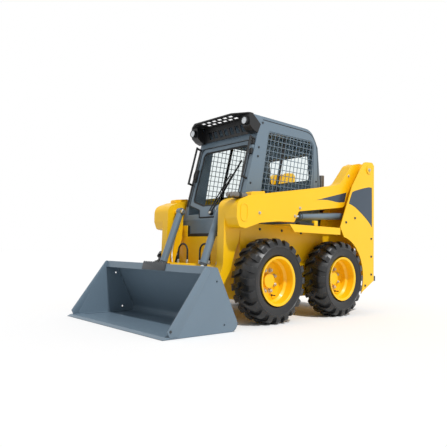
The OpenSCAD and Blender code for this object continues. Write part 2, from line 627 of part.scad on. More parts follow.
// Wheels
module tyre() rotate([0, 90, 0]) rotate_extrude() {
  h = tyre_w / 2;
  wall_h = tyre_d / 2 - rim_r;
  outline([
    [rim_r - 14, -h + 40, 0], [rim_r + 8, -h + 22, 8], [rim_r + 0.49 * wall_h, -h, 0.24 * wall_h],
    [tyre_d / 2 - 0.31 * wall_h, -h + 8, 0.18 * wall_h], [tyre_d / 2, -h + 30, 20], [tyre_d / 2, h - 30, 20],
    [tyre_d / 2 - 0.31 * wall_h, h - 8, 0.18 * wall_h], [rim_r + 0.49 * wall_h, h, 0.24 * wall_h],
    [rim_r + 8, h - 22, 8], [rim_r - 14, h - 40, 0]]);
}
module rim() {
  h = tyre_w / 2;
  difference() {
    union() {
      rotate([0, 90, 0]) rotate_extrude() outline([
        [rim_r - 14.5, -h + 26, 0], [rim_r, -h + 16, 0], [rim_r, -h + 10, 0], [rim_r - 24, -h + 14, 10],
        [rim_r - 26, -60, 0], [rim_r - 46, -40, 0], [rim_r - 46, 20, 0], [rim_r - 26, 40, 0],
        [rim_r - 24, h - 14, 10], [rim_r, h - 10, 0], [rim_r, h - 16, 0], [rim_r - 14.5, h - 26, 0],
        [rim_r - 14.5, 40, 10], [rim_r - 34, 20, 10], [rim_r - 34, -40, 10], [rim_r - 14.5, -60, 10]]);
      rod_x(-40, -28, 0, 0, rim_r - 40);
      rod_x(-58, -40, 0, 0, 130);
      rod_x(-30, 6, 0, 0, 66);
      for (k = [0:7]) rotate([k * 45 + 22.5, 0, 0]) translate([-30, 0, stud_circle_r])
        rotate([0, 90, 0]) cylinder(r = 15, h = 22, $fn = 6);
    }
  }
  rod_x(-(hub_x - frame_half_w - 30) - 40, -50, 0, 0, axle_r);
}
module at_wheel(s, y) placed() translate([s * wheel_x, y, axle_z])
  mirror([s < 0 ? 1 : 0, 0, 0]) children();
module tyre_fl() color("black") at_wheel(1, 0) tyre();
module tyre_fr() color("black") at_wheel(-1, 0) tyre();
module tyre_rl() color("black") at_wheel(1, wheelbase) tyre();
module tyre_rr() color("black") at_wheel(-1, wheelbase) tyre();
module rim_fl() color("gold") at_wheel(1, 0) rim();
module rim_fr() color("gold") at_wheel(-1, 0) rim();
module rim_rl() color("gold") at_wheel(1, wheelbase) rim();
module rim_rr() color("gold") at_wheel(-1, wheelbase) rim();

main_frame();
fenders();
tower_left();
tower_right();
engine_block();
axle_tubes();
rear_bumper();
lamps();
exhaust();
cowl();
cab_left_side();
cab_right_side();
cab_roof();
cab_rear_wall();
cab_floor();
screen_left();
screen_right();
cab_glass();
visor();
grab_handles();
seat();
controls();
door_frame();
door_glass();
wiper();
rear_door();
hood();
arm_left();
arm_right();
cross_tube();
hoses();
hitch();
bucket_shell();
bucket_side_left();
bucket_side_right();
cutting_edge();
lift_barrels();
lift_rods();
tilt_barrels();
tilt_rods();
tyre_fl();
tyre_fr();
tyre_rl();
tyre_rr();
rim_fl();
rim_fr();
rim_rl();
rim_rr();
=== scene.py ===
"""Wheeled skid steer loader in a pale studio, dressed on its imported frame."""
import logging
import math
from dataclasses import dataclass
from enum import Enum
from typing import Sequence

import bpy
from mathutils import Matrix, Vector


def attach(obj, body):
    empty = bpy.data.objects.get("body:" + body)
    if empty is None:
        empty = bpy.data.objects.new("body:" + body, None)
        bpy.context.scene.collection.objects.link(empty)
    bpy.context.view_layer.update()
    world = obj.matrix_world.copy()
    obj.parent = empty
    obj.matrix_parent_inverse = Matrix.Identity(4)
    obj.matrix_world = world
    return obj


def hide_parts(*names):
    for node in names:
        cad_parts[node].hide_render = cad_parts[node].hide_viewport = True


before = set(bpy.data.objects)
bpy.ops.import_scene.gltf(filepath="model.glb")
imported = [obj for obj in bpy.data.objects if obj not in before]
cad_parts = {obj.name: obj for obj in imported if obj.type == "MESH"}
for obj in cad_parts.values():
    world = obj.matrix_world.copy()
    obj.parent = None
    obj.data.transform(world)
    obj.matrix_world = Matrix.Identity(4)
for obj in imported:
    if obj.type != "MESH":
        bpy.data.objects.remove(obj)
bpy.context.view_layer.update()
LOG = logging.getLogger("loader")
MM = 0.001
# The front axle lies this far along the frame, and heights are from the ground
FRONT_AXLE_Y = -0.207
REAR_AXLE_MM = 990.0
AXLE_Z_MM = 387.0
# The front posts and the door lean back by this much from this line
POST_RAKE = math.radians(14.9)
POST_FOOT_Y = -205.0
POST_FOOT_Z = 960.0
# The front work lamps stand here across the machine and above the ground
LAMP_X_MM = 394.0
LAMP_Z_MM = 1893.0
# Edges that turn by less than this are shaded as one surface
SMOOTH_TURN = math.radians(32)


class Side(Enum):
    """Which side of the machine a piece is on."""

    LEFT = 1
    RIGHT = -1


def at(x: float, y: float, z: float) -> Vector:
    """Turn millimetres from the front axle and the ground to the frame's metres."""
    return Vector((x * MM, y * MM + FRONT_AXLE_Y, z * MM))


def raked(x: float, y: float, rise: float) -> Vector:
    """Turn a place on the front posts, y into the cab and rise up the rake, to the frame's metres."""
    along = POST_FOOT_Y + y * math.cos(POST_RAKE) + rise * math.sin(POST_RAKE)
    return at(x, along, POST_FOOT_Z - y * math.sin(POST_RAKE) + rise * math.cos(POST_RAKE))


def level_sheet(x0: float, x1: float, y0: float, y1: float, z: float) -> list[Vector]:
    """Return the corners of a level rectangle."""
    return [at(x0, y0, z), at(x1, y0, z), at(x1, y1, z), at(x0, y1, z)]


def upright_sheet(x0: float, x1: float, y: float, z0: float, z1: float) -> list[Vector]:
    """Return the corners of an upright rectangle across the machine."""
    return [at(x0, y, z0), at(x1, y, z0), at(x1, y, z1), at(x0, y, z1)]


def raked_sheet(x0: float, x1: float, y: float, low: float, high: float) -> list[Vector]:
    """Return the corners of a rectangle that leans with the front posts."""
    return [raked(x0, y, low), raked(x1, y, low), raked(x1, y, high), raked(x0, y, high)]


def out_from_post(depth: float) -> Vector:
    """Return a step of this depth forward from the front posts."""
    return raked(0, -depth, 0) - raked(0, 0, 0)


def linear(code: str) -> tuple[float, float, float, float]:
    """Turn an sRGB hex value to linear light.

    Args:
        code: A value such as "#FFC91A".

    Returns:
        Red, green, blue and alpha, each from 0 to 1.
    """
    parts = [int(code[i:i + 2], 16) / 255 for i in (1, 3, 5)]
    light = [c / 12.92 if c <= 0.04045 else ((c + 0.055) / 1.055) ** 2.4 for c in parts]
    return (light[0], light[1], light[2], 1.0)


def add(tree: bpy.types.NodeTree, kind: str, values: dict | None = None,
        **settings: object) -> bpy.types.Node:
    """Add one node with its settings, socket values and links.

    Args:
        tree: The node tree to add to.
        kind: Blender's name of the node type.
        values: A value or an output socket for each input, by name or number.
        **settings: The node's own properties.

    Returns:
        The new node.
    """
    made = tree.nodes.new(kind)
    for name, value in settings.items():
        setattr(made, name, value)
    for key, value in (values or {}).items():
        if isinstance(value, bpy.types.NodeSocket):
            tree.links.new(value, made.inputs[key])
        else:
            made.inputs[key].default_value = value
    return made


def blank(name: str) -> tuple[bpy.types.Material, bpy.types.NodeTree, bpy.types.NodeSocket]:
    """Start a material with an empty tree.

    Args:
        name: The material's name.

    Returns:
        The material, its tree and the Object coordinate socket.
    """
    made = bpy.data.materials.new(name)
    made.use_nodes = True
    tree = made.node_tree
    tree.nodes.clear()
    place = add(tree, "ShaderNodeTexCoord").outputs["Object"]
    return made, tree, place


def close(tree: bpy.types.NodeTree, shader: bpy.types.Node) -> None:
    """Link a shader to the material's output."""
    add(tree, "ShaderNodeOutputMaterial", {"Surface": shader.outputs[0]})


@dataclass(frozen=True)
class Enamel:
    """Sprayed enamel on plate steel: an even coat with faint orange peel and rounded, softly lit edges."""

    name: str
    colour: str
    shade: str
    roughness: float = 0.34
    coat: float = 0.25
    peel_mm: float = 5.0
    mottle_mm: float = 420.0

    def make(self) -> bpy.types.Material:
        """Build the material.

        Returns:
            The finished material.
        """
        made, tree, place = blank(self.name)
        # Spray passes leave a slow drift of tone, drawn over about half a metre
        drift = add(tree, "ShaderNodeTexNoise",
                    {"Vector": place, "Scale": 1000 / self.mottle_mm, "Detail": 3.0})
        tone = add(tree, "ShaderNodeMix",
                   {0: drift.outputs["Fac"], 6: linear(self.colour), 7: linear(self.shade)},
                   data_type="RGBA")
        # Orange peel is about 5 mm from wave to wave
        peel = add(tree, "ShaderNodeTexNoise", {"Vector": place, "Scale": 1000 / self.peel_mm, "Detail": 1.0})
        gloss = add(tree, "ShaderNodeMapRange",
                    {"Value": drift.outputs["Fac"], "To Min": self.roughness - 0.06,
                     "To Max": self.roughness + 0.08})
        edge = add(tree, "ShaderNodeBevel", {"Radius": 4 * MM}, samples=4)
        bump = add(tree, "ShaderNodeBump",
                   {"Height": peel.outputs["Fac"], "Strength": 0.05, "Distance": 0.4 * MM,
                    "Normal": edge.outputs["Normal"]})
        shader = add(tree, "ShaderNodeBsdfPrincipled", {
            "Base Color": tone.outputs[2], "Roughness": gloss.outputs["Result"],
            "Normal": bump.outputs["Normal"], "IOR": 1.5, "Coat Weight": self.coat,
            "Coat Roughness": 0.12})
        close(tree, shader)
        return made


@dataclass(frozen=True)
class MouldedPlastic:
    """Moulded plastic, rubber or vinyl, with a fine pressed grain that breaks up the shine."""

    name: str
    colour: str
    roughness: float = 0.5
    grain_mm: float = 2.2
    depth_mm: float = 0.25

    def make(self) -> bpy.types.Material:
        """Build the material.

        Returns:
            The finished material.
        """
        made, tree, place = blank(self.name)
        # The pressed grain is near 1 mm and is drawn at 2 mm so that it shows
        grain = add(tree, "ShaderNodeTexVoronoi", {"Vector": place, "Scale": 1000 / self.grain_mm})
        wear = add(tree, "ShaderNodeTexNoise", {"Vector": place, "Scale": 6.0, "Detail": 4.0})
        gloss = add(tree, "ShaderNodeMapRange", {"Value": wear.outputs["Fac"], "To Min": self.roughness - 0.1,
                                                 "To Max": self.roughness + 0.1})
        edge = add(tree, "ShaderNodeBevel", {"Radius": 3 * MM}, samples=4)
        bump = add(tree, "ShaderNodeBump", {"Height": grain.outputs["Distance"], "Strength": 0.2,
                                            "Distance": self.depth_mm * MM, "Normal": edge.outputs["Normal"]})
        shader = add(tree, "ShaderNodeBsdfPrincipled", {
            "Base Color": linear(self.colour), "Roughness": gloss.outputs["Result"],
            "Normal": bump.outputs["Normal"], "IOR": 1.5})
        close(tree, shader)
        return made


@dataclass(frozen=True)
class TyreRubber:
    """Moulded tyre rubber: matt black with drifts of grey dust, and fine rings on the side wall."""

    name: str
    axle_y: float
    axle_z: float
    colour: str = "#0D0E10"
    dusty: str = "#18191B"

    def make(self) -> bpy.types.Material:
        """Build the material, centred on one axle.

        Returns:
            The finished material.
        """
        made, tree, place = blank(self.name)
        centred = add(tree, "ShaderNodeMapping",
                      {"Vector": place, "Location": (0.0, -self.axle_y, -self.axle_z),
                       "Scale": (0.0, 1.0, 1.0)}, vector_type="POINT")
        reach = add(tree, "ShaderNodeVectorMath", {0: centred.outputs["Vector"]}, operation="LENGTH")
        # Moulding rings stand about 9 mm apart
        rings = add(tree, "ShaderNodeMath", {0: reach.outputs["Value"], 1: 2 * math.pi / (9 * MM)},
                    operation="MULTIPLY")
        wave = add(tree, "ShaderNodeMath", {0: rings.outputs[0]}, operation="SINE")
        dust = add(tree, "ShaderNodeTexNoise", {"Vector": place, "Scale": 14.0, "Detail": 5.0})
        tone = add(tree, "ShaderNodeMix",
                   {0: dust.outputs["Fac"], 6: linear(self.colour), 7: linear(self.dusty)},
                   data_type="RGBA")
        gloss = add(tree, "ShaderNodeMapRange", {"Value": dust.outputs["Fac"], "To Min": 0.3, "To Max": 0.48})
        edge = add(tree, "ShaderNodeBevel", {"Radius": 5 * MM}, samples=4)
        bump = add(tree, "ShaderNodeBump", {"Height": wave.outputs[0], "Strength": 0.12, "Distance": 0.4 * MM,
                                            "Normal": edge.outputs["Normal"]})
        shader = add(tree, "ShaderNodeBsdfPrincipled", {
            "Base Color": tone.outputs[2], "Roughness": gloss.outputs["Result"],
            "Normal": bump.outputs["Normal"], "IOR": 1.52})
        close(tree, shader)
        return made


@dataclass(frozen=True)
class BareSteel:
    """Drawn, plated or chromed steel: bright metal whose gloss drifts along its grain."""

    name: str
    colour: str
    roughness: float
    line_mm: tuple[float, float, float] = (200.0, 3.0, 3.0)

    def make(self) -> bpy.types.Material:
        """Build the material.

        Returns:
            The finished material.
        """
        made, tree, place = blank(self.name)
        # Drawn steel has lines that are long one way, and plating an even cloud
        drawn = add(tree, "ShaderNodeMapping",
                    {"Vector": place, "Scale": tuple(1000 / v for v in self.line_mm)})
        lines = add(tree, "ShaderNodeTexNoise",
                    {"Vector": drawn.outputs["Vector"], "Scale": 1.0, "Detail": 3.0})
        gloss = add(tree, "ShaderNodeMapRange",
                    {"Value": lines.outputs["Fac"], "To Min": self.roughness * 0.7,
                     "To Max": self.roughness * 1.4})
        edge = add(tree, "ShaderNodeBevel", {"Radius": 2 * MM}, samples=4)
        bump = add(tree, "ShaderNodeBump",
                   {"Height": lines.outputs["Fac"], "Strength": 0.08, "Distance": 0.2 * MM,
                    "Normal": edge.outputs["Normal"]})
        shader = add(tree, "ShaderNodeBsdfPrincipled", {
            "Base Color": linear(self.colour), "Metallic": 1.0, "Roughness": gloss.outputs["Result"],
            "Normal": bump.outputs["Normal"]})
        close(tree, shader)
        return made


@dataclass(frozen=True)
class FloatGlass:
    """Clear safety glass: a sheet seen through, with a faint green cast and a film of dust."""

    name: str
    colour: str = "#F6FAFA"

    def make(self) -> bpy.types.Material:
        """Build the material.

        Returns:
            The finished material.
        """
        made, tree, place = blank(self.name)
        # A thin uneven film, drawn over about 12 cm
        film = add(tree, "ShaderNodeTexNoise", {"Vector": place, "Scale": 8.0, "Detail": 4.0})
        gloss = add(tree, "ShaderNodeMapRange", {"Value": film.outputs["Fac"], "To Min": 0.0, "To Max": 0.04})
        # A pane bends what lies behind it very little, so the IOR is far below that of solid glass
        shader = add(tree, "ShaderNodeBsdfPrincipled", {
            "Base Color": linear(self.colour), "Roughness": gloss.outputs["Result"], "IOR": 1.05,
            "Transmission Weight": 1.0})
        close(tree, shader)
        return made


class Coat(Enum):
    """Every finish on the machine."""

    YELLOW = "yellow"
    GREY = "grey"
    DARK = "dark"
    PLASTIC = "plastic"
    SEAL = "seal"
    STEEL = "steel"
    ZINC = "zinc"
    CHROME = "chrome"
    TYRE_FRONT = "tyre_front"
    TYRE_REAR = "tyre_rear"
    HOSE = "hose"
    GLASS = "glass"
    LENS = "lens"
    VINYL = "vinyl"
    IRON = "iron"
    FILM = "film"
    AMBER = "amber"


FINISHES = {
    Coat.YELLOW: Enamel("yellow_enamel_sprayed", "#FEC905", "#F9C001", 0.42, 0.1),
    Coat.GREY: Enamel("grey_blue_enamel_sprayed", "#6C7F8E", "#647684", 0.42, 0.15),
    Coat.DARK: Enamel("charcoal_enamel_sprayed", "#3A3E42", "#33373B", 0.45, 0.1),
    Coat.PLASTIC: MouldedPlastic("black_abs_moulded", "#121315", 0.46),
    Coat.SEAL: MouldedPlastic("seal_rubber_extruded", "#101112", 0.6, 4.0),
    Coat.STEEL: BareSteel("tube_steel_drawn", "#7F7C78", 0.38),
    Coat.ZINC: BareSteel("fastener_steel_zinc_plated", "#C6C3BA", 0.32, (30.0, 30.0, 30.0)),
    Coat.CHROME: BareSteel("rod_steel_chromed", "#D9DCDF", 0.12, (400.0, 400.0, 400.0)),
    Coat.TYRE_FRONT: TyreRubber("tyre_rubber_moulded_front", FRONT_AXLE_Y, AXLE_Z_MM * MM),
    Coat.TYRE_REAR: TyreRubber("tyre_rubber_moulded_rear", FRONT_AXLE_Y + REAR_AXLE_MM * MM, AXLE_Z_MM * MM),
    Coat.HOSE: MouldedPlastic("hose_rubber_extruded", "#111213", 0.5, 3.0),
    Coat.GLASS: FloatGlass("safety_glass_float"),
    Coat.LENS: MouldedPlastic("lamp_polycarbonate_moulded", "#DDE2E6", 0.14, 12.0, 0.6),
    Coat.VINYL: MouldedPlastic("seat_vinyl_embossed", "#222427", 0.5, 5.0, 0.5),
    Coat.IRON: Enamel("engine_iron_cast_painted", "#2F3133", "#26282A", 0.6, 0.0),
    Coat.FILM: Enamel("slate_blue_film_cut", "#2B3E50", "#263746", 0.34, 0.15),
    Coat.AMBER: MouldedPlastic("amber_acrylic_moulded", "#E0700C", 0.2, 8.0),
}

# The finish of each solid of the frame
NODES_BY_COAT = {
    Coat.YELLOW: ["main_frame", "fenders", "tower_left", "tower_right", "cowl", "hood", "rear_door",
                  "arm_left", "arm_right", "cross_tube", "rim_fl", "rim_fr", "rim_rl", "rim_rr"],
    Coat.GREY: ["cab_left_side", "cab_right_side", "cab_roof", "cab_rear_wall", "cab_floor",
                "door_frame", "hitch", "bucket_shell", "bucket_side_left", "bucket_side_right",
                "cutting_edge", "lift_barrels", "tilt_barrels", "screen_left", "screen_right"],
    Coat.DARK: ["axle_tubes", "rear_bumper"],
    Coat.PLASTIC: ["visor", "grab_handles", "controls", "wiper"],
    Coat.STEEL: ["exhaust"],
    Coat.CHROME: ["lift_rods", "tilt_rods"],
    Coat.TYRE_FRONT: ["tyre_fl", "tyre_fr"],
    Coat.TYRE_REAR: ["tyre_rl", "tyre_rr"],
    Coat.HOSE: ["hoses"],
    Coat.GLASS: ["cab_glass", "door_glass"],
    Coat.LENS: ["lamps"],
    Coat.VINYL: ["seat"],
    Coat.IRON: ["engine_block"],
}


class Paintshop:
    """Makes each finish once and hands it out."""

    def __init__(self) -> None:
        """Start with no material made."""
        self.made: dict[Coat, bpy.types.Material] = {}

    def give(self, coat: Coat) -> bpy.types.Material:
        """Return the material of a finish, made on first use.

        Args:
            coat: The finish.

        Returns:
            Its material.
        """
        if coat not in self.made:
            self.made[coat] = FINISHES[coat].make()
        return self.made[coat]

    def paint(self, piece: bpy.types.Object, coat: Coat) -> None:
        """Give a piece one finish all over."""
        piece.data.materials.clear()
        piece.data.materials.append(self.give(coat))

    def paint_nodes(self) -> None:
        """Give every solid of the frame its finish."""
        for coat, names in NODES_BY_COAT.items():
            for name in names:
                self.paint(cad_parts[name], coat)

    def mount(self, piece: bpy.types.Object, body: str, coat: Coat) -> bpy.types.Object:
        """Finish a piece and let it move with a body.

        Args:
            piece: The modelled piece, in object mode.
            body: The body that carries it.
            coat: Its finish.

        Returns:
            The same piece.
        """
        if piece.type == "MESH":
            hold(piece)
            bpy.ops.object.shade_smooth_by_angle(angle=SMOOTH_TURN)
        self.paint(piece, coat)
        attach(piece, body)
        LOG.info("%s on %s", piece.name, body)
        return piece


def clear_bench() -> None:
    """Leave edit mode and let go of everything."""
    held = bpy.context.view_layer.objects.active
    if held and held.mode != "OBJECT":
        bpy.ops.object.mode_set(mode="OBJECT")
    bpy.ops.object.select_all(action="DESELECT")


def hold(piece: bpy.types.Object) -> None:
    """Let go of everything else and make one piece the active one."""
    clear_bench()
    piece.select_set(True)
    bpy.context.view_layer.objects.active = piece


def ring_of(name: str, corners: Sequence[Vector], filled: bool) -> bpy.types.Object:
    """Start a piece from a ring whose corners lie on an outline.

    Args:
        name: The piece's name.
        corners: The outline, in the frame's metres.
        filled: Whether the ring holds a face.

    Returns:
        The ring, in object mode.
    """
    clear_bench()
    bpy.ops.mesh.primitive_circle_add(vertices=len(corners), radius=1.0,
                                      fill_type="NGON" if filled else "NOTHING", location=(0, 0, 0))
    piece = bpy.context.object
    piece.name = name
    piece.data.name = name
    for corner, place in zip(piece.data.vertices, corners):
        corner.co = place
    return piece


def soften(piece: bpy.types.Object, width: float, segments: int = 2) -> None:
    """Round the sharp edges of a piece.

    Args:
        piece: The piece, in object mode.
        width: The width of the rounding, in millimetres.
        segments: Faces across the rounding.
    """
    edge = piece.modifiers.new("edge", "BEVEL")
    edge.width = width * MM
    edge.segments = segments
    edge.limit_method = "ANGLE"
    hold(piece)
    bpy.ops.object.modifier_apply(modifier="edge")


def plate(name: str, corners: Sequence[Vector], rise: Vector, rounding: float = 0.0,
          window: float = 0.0) -> bpy.types.Object:
    """Cut a flat plate and draw it out to its thickness.

    Args:
        name: The piece's name.
        corners: The outline of one face.
        rise: The way and distance to the other face.
        rounding: The width of its rounded edges, in millimetres.
        window: Where this isn't 0, the plate is a frame of this width, in millimetres.

    Returns:
        The plate, in object mode.
    """
    piece = ring_of(name, corners, True)
    bpy.ops.object.mode_set(mode="EDIT")
    bpy.ops.mesh.select_all(action="SELECT")
    if window:
        bpy.ops.mesh.inset(thickness=window * MM)
        bpy.ops.mesh.delete(type="FACE")
        bpy.ops.mesh.select_all(action="SELECT")
    bpy.ops.mesh.extrude_region_move(TRANSFORM_OT_translate={"value": rise})
    bpy.ops.mesh.select_all(action="SELECT")
    bpy.ops.mesh.normals_make_consistent(inside=False)
    bpy.ops.object.mode_set(mode="OBJECT")
    if rounding:
        soften(piece, rounding)
    return piece


def pierced(piece: bpy.types.Object, cutters: Sequence[bpy.types.Object]) -> bpy.types.Object:
    """Cut shapes out of a piece and leave no cutter.

    Args:
        piece: The piece, in object mode.
        cutters: The shapes to cut away.

    Returns:
        The same piece.
    """
    for cutter in cutters:
        cut = piece.modifiers.new("cut", "BOOLEAN")
        cut.operation = "DIFFERENCE"
        cut.solver = "EXACT"
        cut.object = cutter
        hold(piece)
        bpy.ops.object.modifier_apply(modifier="cut")
        bpy.data.objects.remove(cutter, do_unlink=True)
    return piece


def lofted(name: str, sections: Sequence[Sequence[Vector]]) -> bpy.types.Object:
    """Draw a face out through a row of sections.

    Args:
        name: The piece's name.
        sections: Outlines with the same number of corners.

    Returns:
        The closed piece, in object mode.
    """
    piece = ring_of(name, sections[0], True)
    bpy.ops.object.mode_set(mode="EDIT")
    bpy.ops.mesh.select_all(action="SELECT")
    for before, after in zip(sections, sections[1:]):
        bpy.ops.mesh.extrude_region_move()
        bpy.ops.object.mode_set(mode="OBJECT")
        for corner in piece.data.vertices:
            if corner.select:
                nearest = min(range(len(before)), key=lambda k: (before[k] - corner.co).length)
                corner.co = after[nearest]
        bpy.ops.object.mode_set(mode="EDIT")
    bpy.ops.mesh.select_all(action="SELECT")
    bpy.ops.mesh.normals_make_consistent(inside=False)
    bpy.ops.object.mode_set(mode="OBJECT")
    return piece


def turned(name: str, profile: Sequence[tuple[float, float]], centre: Vector, axis: Vector,
           steps: int = 32) -> bpy.types.Object:
    """Turn a closed profile round an axis.

    Args:
        name: The piece's name.
        profile: Its corners as distance from the axis and distance along it, in millimetres.
        centre: The point that distances along the axis are from.
        axis: The way that they run.
        steps: Faces round the piece.

    Returns:
        The turned piece, in object mode.
    """
    along = axis.normalized()
    out = along.orthogonal().normalized()
    piece = ring_of(name, [centre + out * (r * MM) + along * (h * MM) for r, h in profile], False)
    bpy.ops.object.mode_set(mode="EDIT")
    bpy.ops.mesh.select_all(action="SELECT")
    bpy.ops.mesh.spin(steps=steps, angle=2 * math.pi, center=centre, axis=along)
    bpy.ops.mesh.select_all(action="SELECT")
    bpy.ops.mesh.remove_doubles(threshold=0.00005)
    bpy.ops.mesh.dissolve_degenerate(threshold=0.00001)
    bpy.ops.mesh.normals_make_consistent(inside=False)
    bpy.ops.object.mode_set(mode="OBJECT")
    return piece


def eased(path: Sequence[Vector], steps: int = 6) -> list[Vector]:
    """Draw one smooth line through a path's points.

    Args:
        path: The points.
        steps: Points on each stretch.

    Returns:
        The points of the smooth line.
    """
    ends = [path[0] * 2 - path[1], *path, path[-1] * 2 - path[-2]]
    line = []
    for a, b, c, d in zip(ends, ends[1:], ends[2:], ends[3:]):
        for i in range(steps):
            t = i / steps
            line.append((b * 2 + (c - a) * t + (a * 2 - b * 5 + c * 4 - d) * t ** 2
                         + (b * 3 - a - c * 3 + d) * t ** 3) / 2)
    return [*line, path[-1].copy()]


def bar(name: str, path: Sequence[Vector], radius: float, solid: bool = True) -> bpy.types.Object:
    """Run a round bar along a path.

    Args:
        name: The piece's name.
        path: The points of its centreline.
        radius: Its radius, in millimetres.
        solid: Whether it becomes a mesh, and doesn't stay a curve.

    Returns:
        The bar, in object mode.
    """
    clear_bench()
    bpy.ops.curve.primitive_nurbs_path_add(location=(0, 0, 0))
    piece = bpy.context.object
    piece.name = name
    piece.data.name = name
    line = piece.data
    line.splines.clear()
    run = line.splines.new("POLY")
    run.points.add(len(path) - 1)
    for point, place in zip(run.points, path):
        point.co = (*place, 1.0)
    line.dimensions = "3D"
    line.bevel_depth = radius * MM
    line.bevel_resolution = 4
    line.use_fill_caps = True
    if solid:
        bpy.ops.object.convert(target="MESH")
        piece = bpy.context.object
    return piece


def hexagon_bolt(radius: float, height: float, washer: float = 1.35) -> bpy.types.Object:
    """Model one hexagon head with its washer, standing up from the origin.

    Args:
        radius: From its axis to a corner, in millimetres.
        height: The head's height, in millimetres.
        washer: The washer's radius over the head's.

    Returns:
        The master, in object mode, to be copied.
    """
    clear_bench()
    bpy.ops.mesh.primitive_cylinder_add(vertices=6, radius=radius * MM, depth=height * MM,
                                        location=(0, 0, (height / 2 + 3) * MM))
    head = bpy.context.object
    bpy.ops.object.mode_set(mode="EDIT")
    bpy.ops.mesh.select_all(action="DESELECT")
    bpy.ops.object.mode_set(mode="OBJECT")
    for face in head.data.polygons:
        face.select = face.normal.z > 0.9
    bpy.ops.object.mode_set(mode="EDIT")
    bpy.ops.mesh.inset(thickness=0.16 * radius * MM)
    bpy.ops.transform.translate(value=(0, 0, 0.12 * radius * MM))
    bpy.ops.mesh.inset(thickness=0.3 * radius * MM)
    bpy.ops.transform.translate(value=(0, 0, -0.06 * radius * MM))
    bpy.ops.object.mode_set(mode="OBJECT")
    bpy.ops.object.transform_apply(location=True, rotation=True, scale=True)
    wide = radius * washer
    ring = turned("washer", [(0.0, 0.0), (wide, 0.0), (wide, 2.0), (wide - 1.0, 3.2), (0.0, 3.2)],
                  Vector((0, 0, 0)), Vector((0, 0, 1)), 20)
    return joined("bolt", [head, ring])


def facing(spot: Vector, way: Vector, turn: float = 0.0) -> Matrix:
    """Give the placing that stands a master on a spot.

    Args:
        spot: Where its foot goes.
        way: The way that it stands.
        turn: Its turn about itself, in degrees.

    Returns:
        The placing.
    """
    stand = way.normalized().to_track_quat("Z", "Y").to_matrix().to_4x4()
    return Matrix.Translation(spot) @ stand @ Matrix.Rotation(math.radians(turn), 4, "Z")


def joined(name: str, parts: Sequence[bpy.types.Object]) -> bpy.types.Object:
    """Join parts into one piece.

    Args:
        name: The piece's name.
        parts: What to join, the first of them kept.

    Returns:
        The piece, in object mode.
    """
    clear_bench()
    for part in parts:
        part.select_set(True)
    bpy.context.view_layer.objects.active = parts[0]
    bpy.ops.object.join()
    parts[0].name = name
    parts[0].data.name = name
    return parts[0]


def copied(name: str, master: bpy.types.Object, places: Sequence[Matrix]) -> bpy.types.Object:
    """Set copies of a master on their places as one piece, and leave no master.

    Args:
        name: The piece's name.
        master: The piece to repeat, standing at the origin.
        places: A placing for each copy.

    Returns:
        The joined piece, in object mode.
    """
    clear_bench()
    made = []
    for place in places:
        mesh = master.data.copy()
        mesh.transform(place)
        made.append(bpy.data.objects.new(name, mesh))
        bpy.context.scene.collection.objects.link(made[-1])
        made[-1].select_set(True)
    bpy.context.view_layer.objects.active = made[0]
    bpy.ops.object.join()
    made[0].name = name
    made[0].data.name = name
    bpy.data.objects.remove(master, do_unlink=True)
    return made[0]


def rounded(before: Vector, corner: Vector, after: Vector, radius: float, steps: int = 6) -> list[Vector]:
    """Round one corner of a flat outline.

    Args:
        before: The corner before it.
        corner: The corner.
        after: The corner after it.
        radius: The rounding's radius.
        steps: Stretches of the rounding.

    Returns:
        The points of the rounding, in order.
    """
    a = (before - corner).normalized()
    b = (after - corner).normalized()
    half = a.angle(b) / 2
    middle = corner + (a + b).normalized() * (radius / math.sin(half))
    first = corner + a * (radius / math.tan(half)) - middle
    last = corner + b * (radius / math.tan(half)) - middle
    whole = math.pi - 2 * half
    points = []
    for k in range(steps + 1):
        t = k / steps
        swing = first * math.sin((1 - t) * whole) + last * math.sin(t * whole)
        points.append(middle + swing / math.sin(whole))
    return points


def smooth_outline(flat: Sequence[tuple[float, float, float]]) -> list[tuple[float, float]]:
    """Round every corner of a flat outline.

    Args:
        flat: Its corners, each with two places and a radius.

    Returns:
        The places along the smooth outline.
    """
    line = []
    for k, (a, b, radius) in enumerate(flat):
        before, after = flat[k - 1], flat[(k + 1) % len(flat)]
        line += rounded(Vector(before[:2]), Vector((a, b)), Vector(after[:2]), radius)
    return [(p.x, p.y) for p in line]


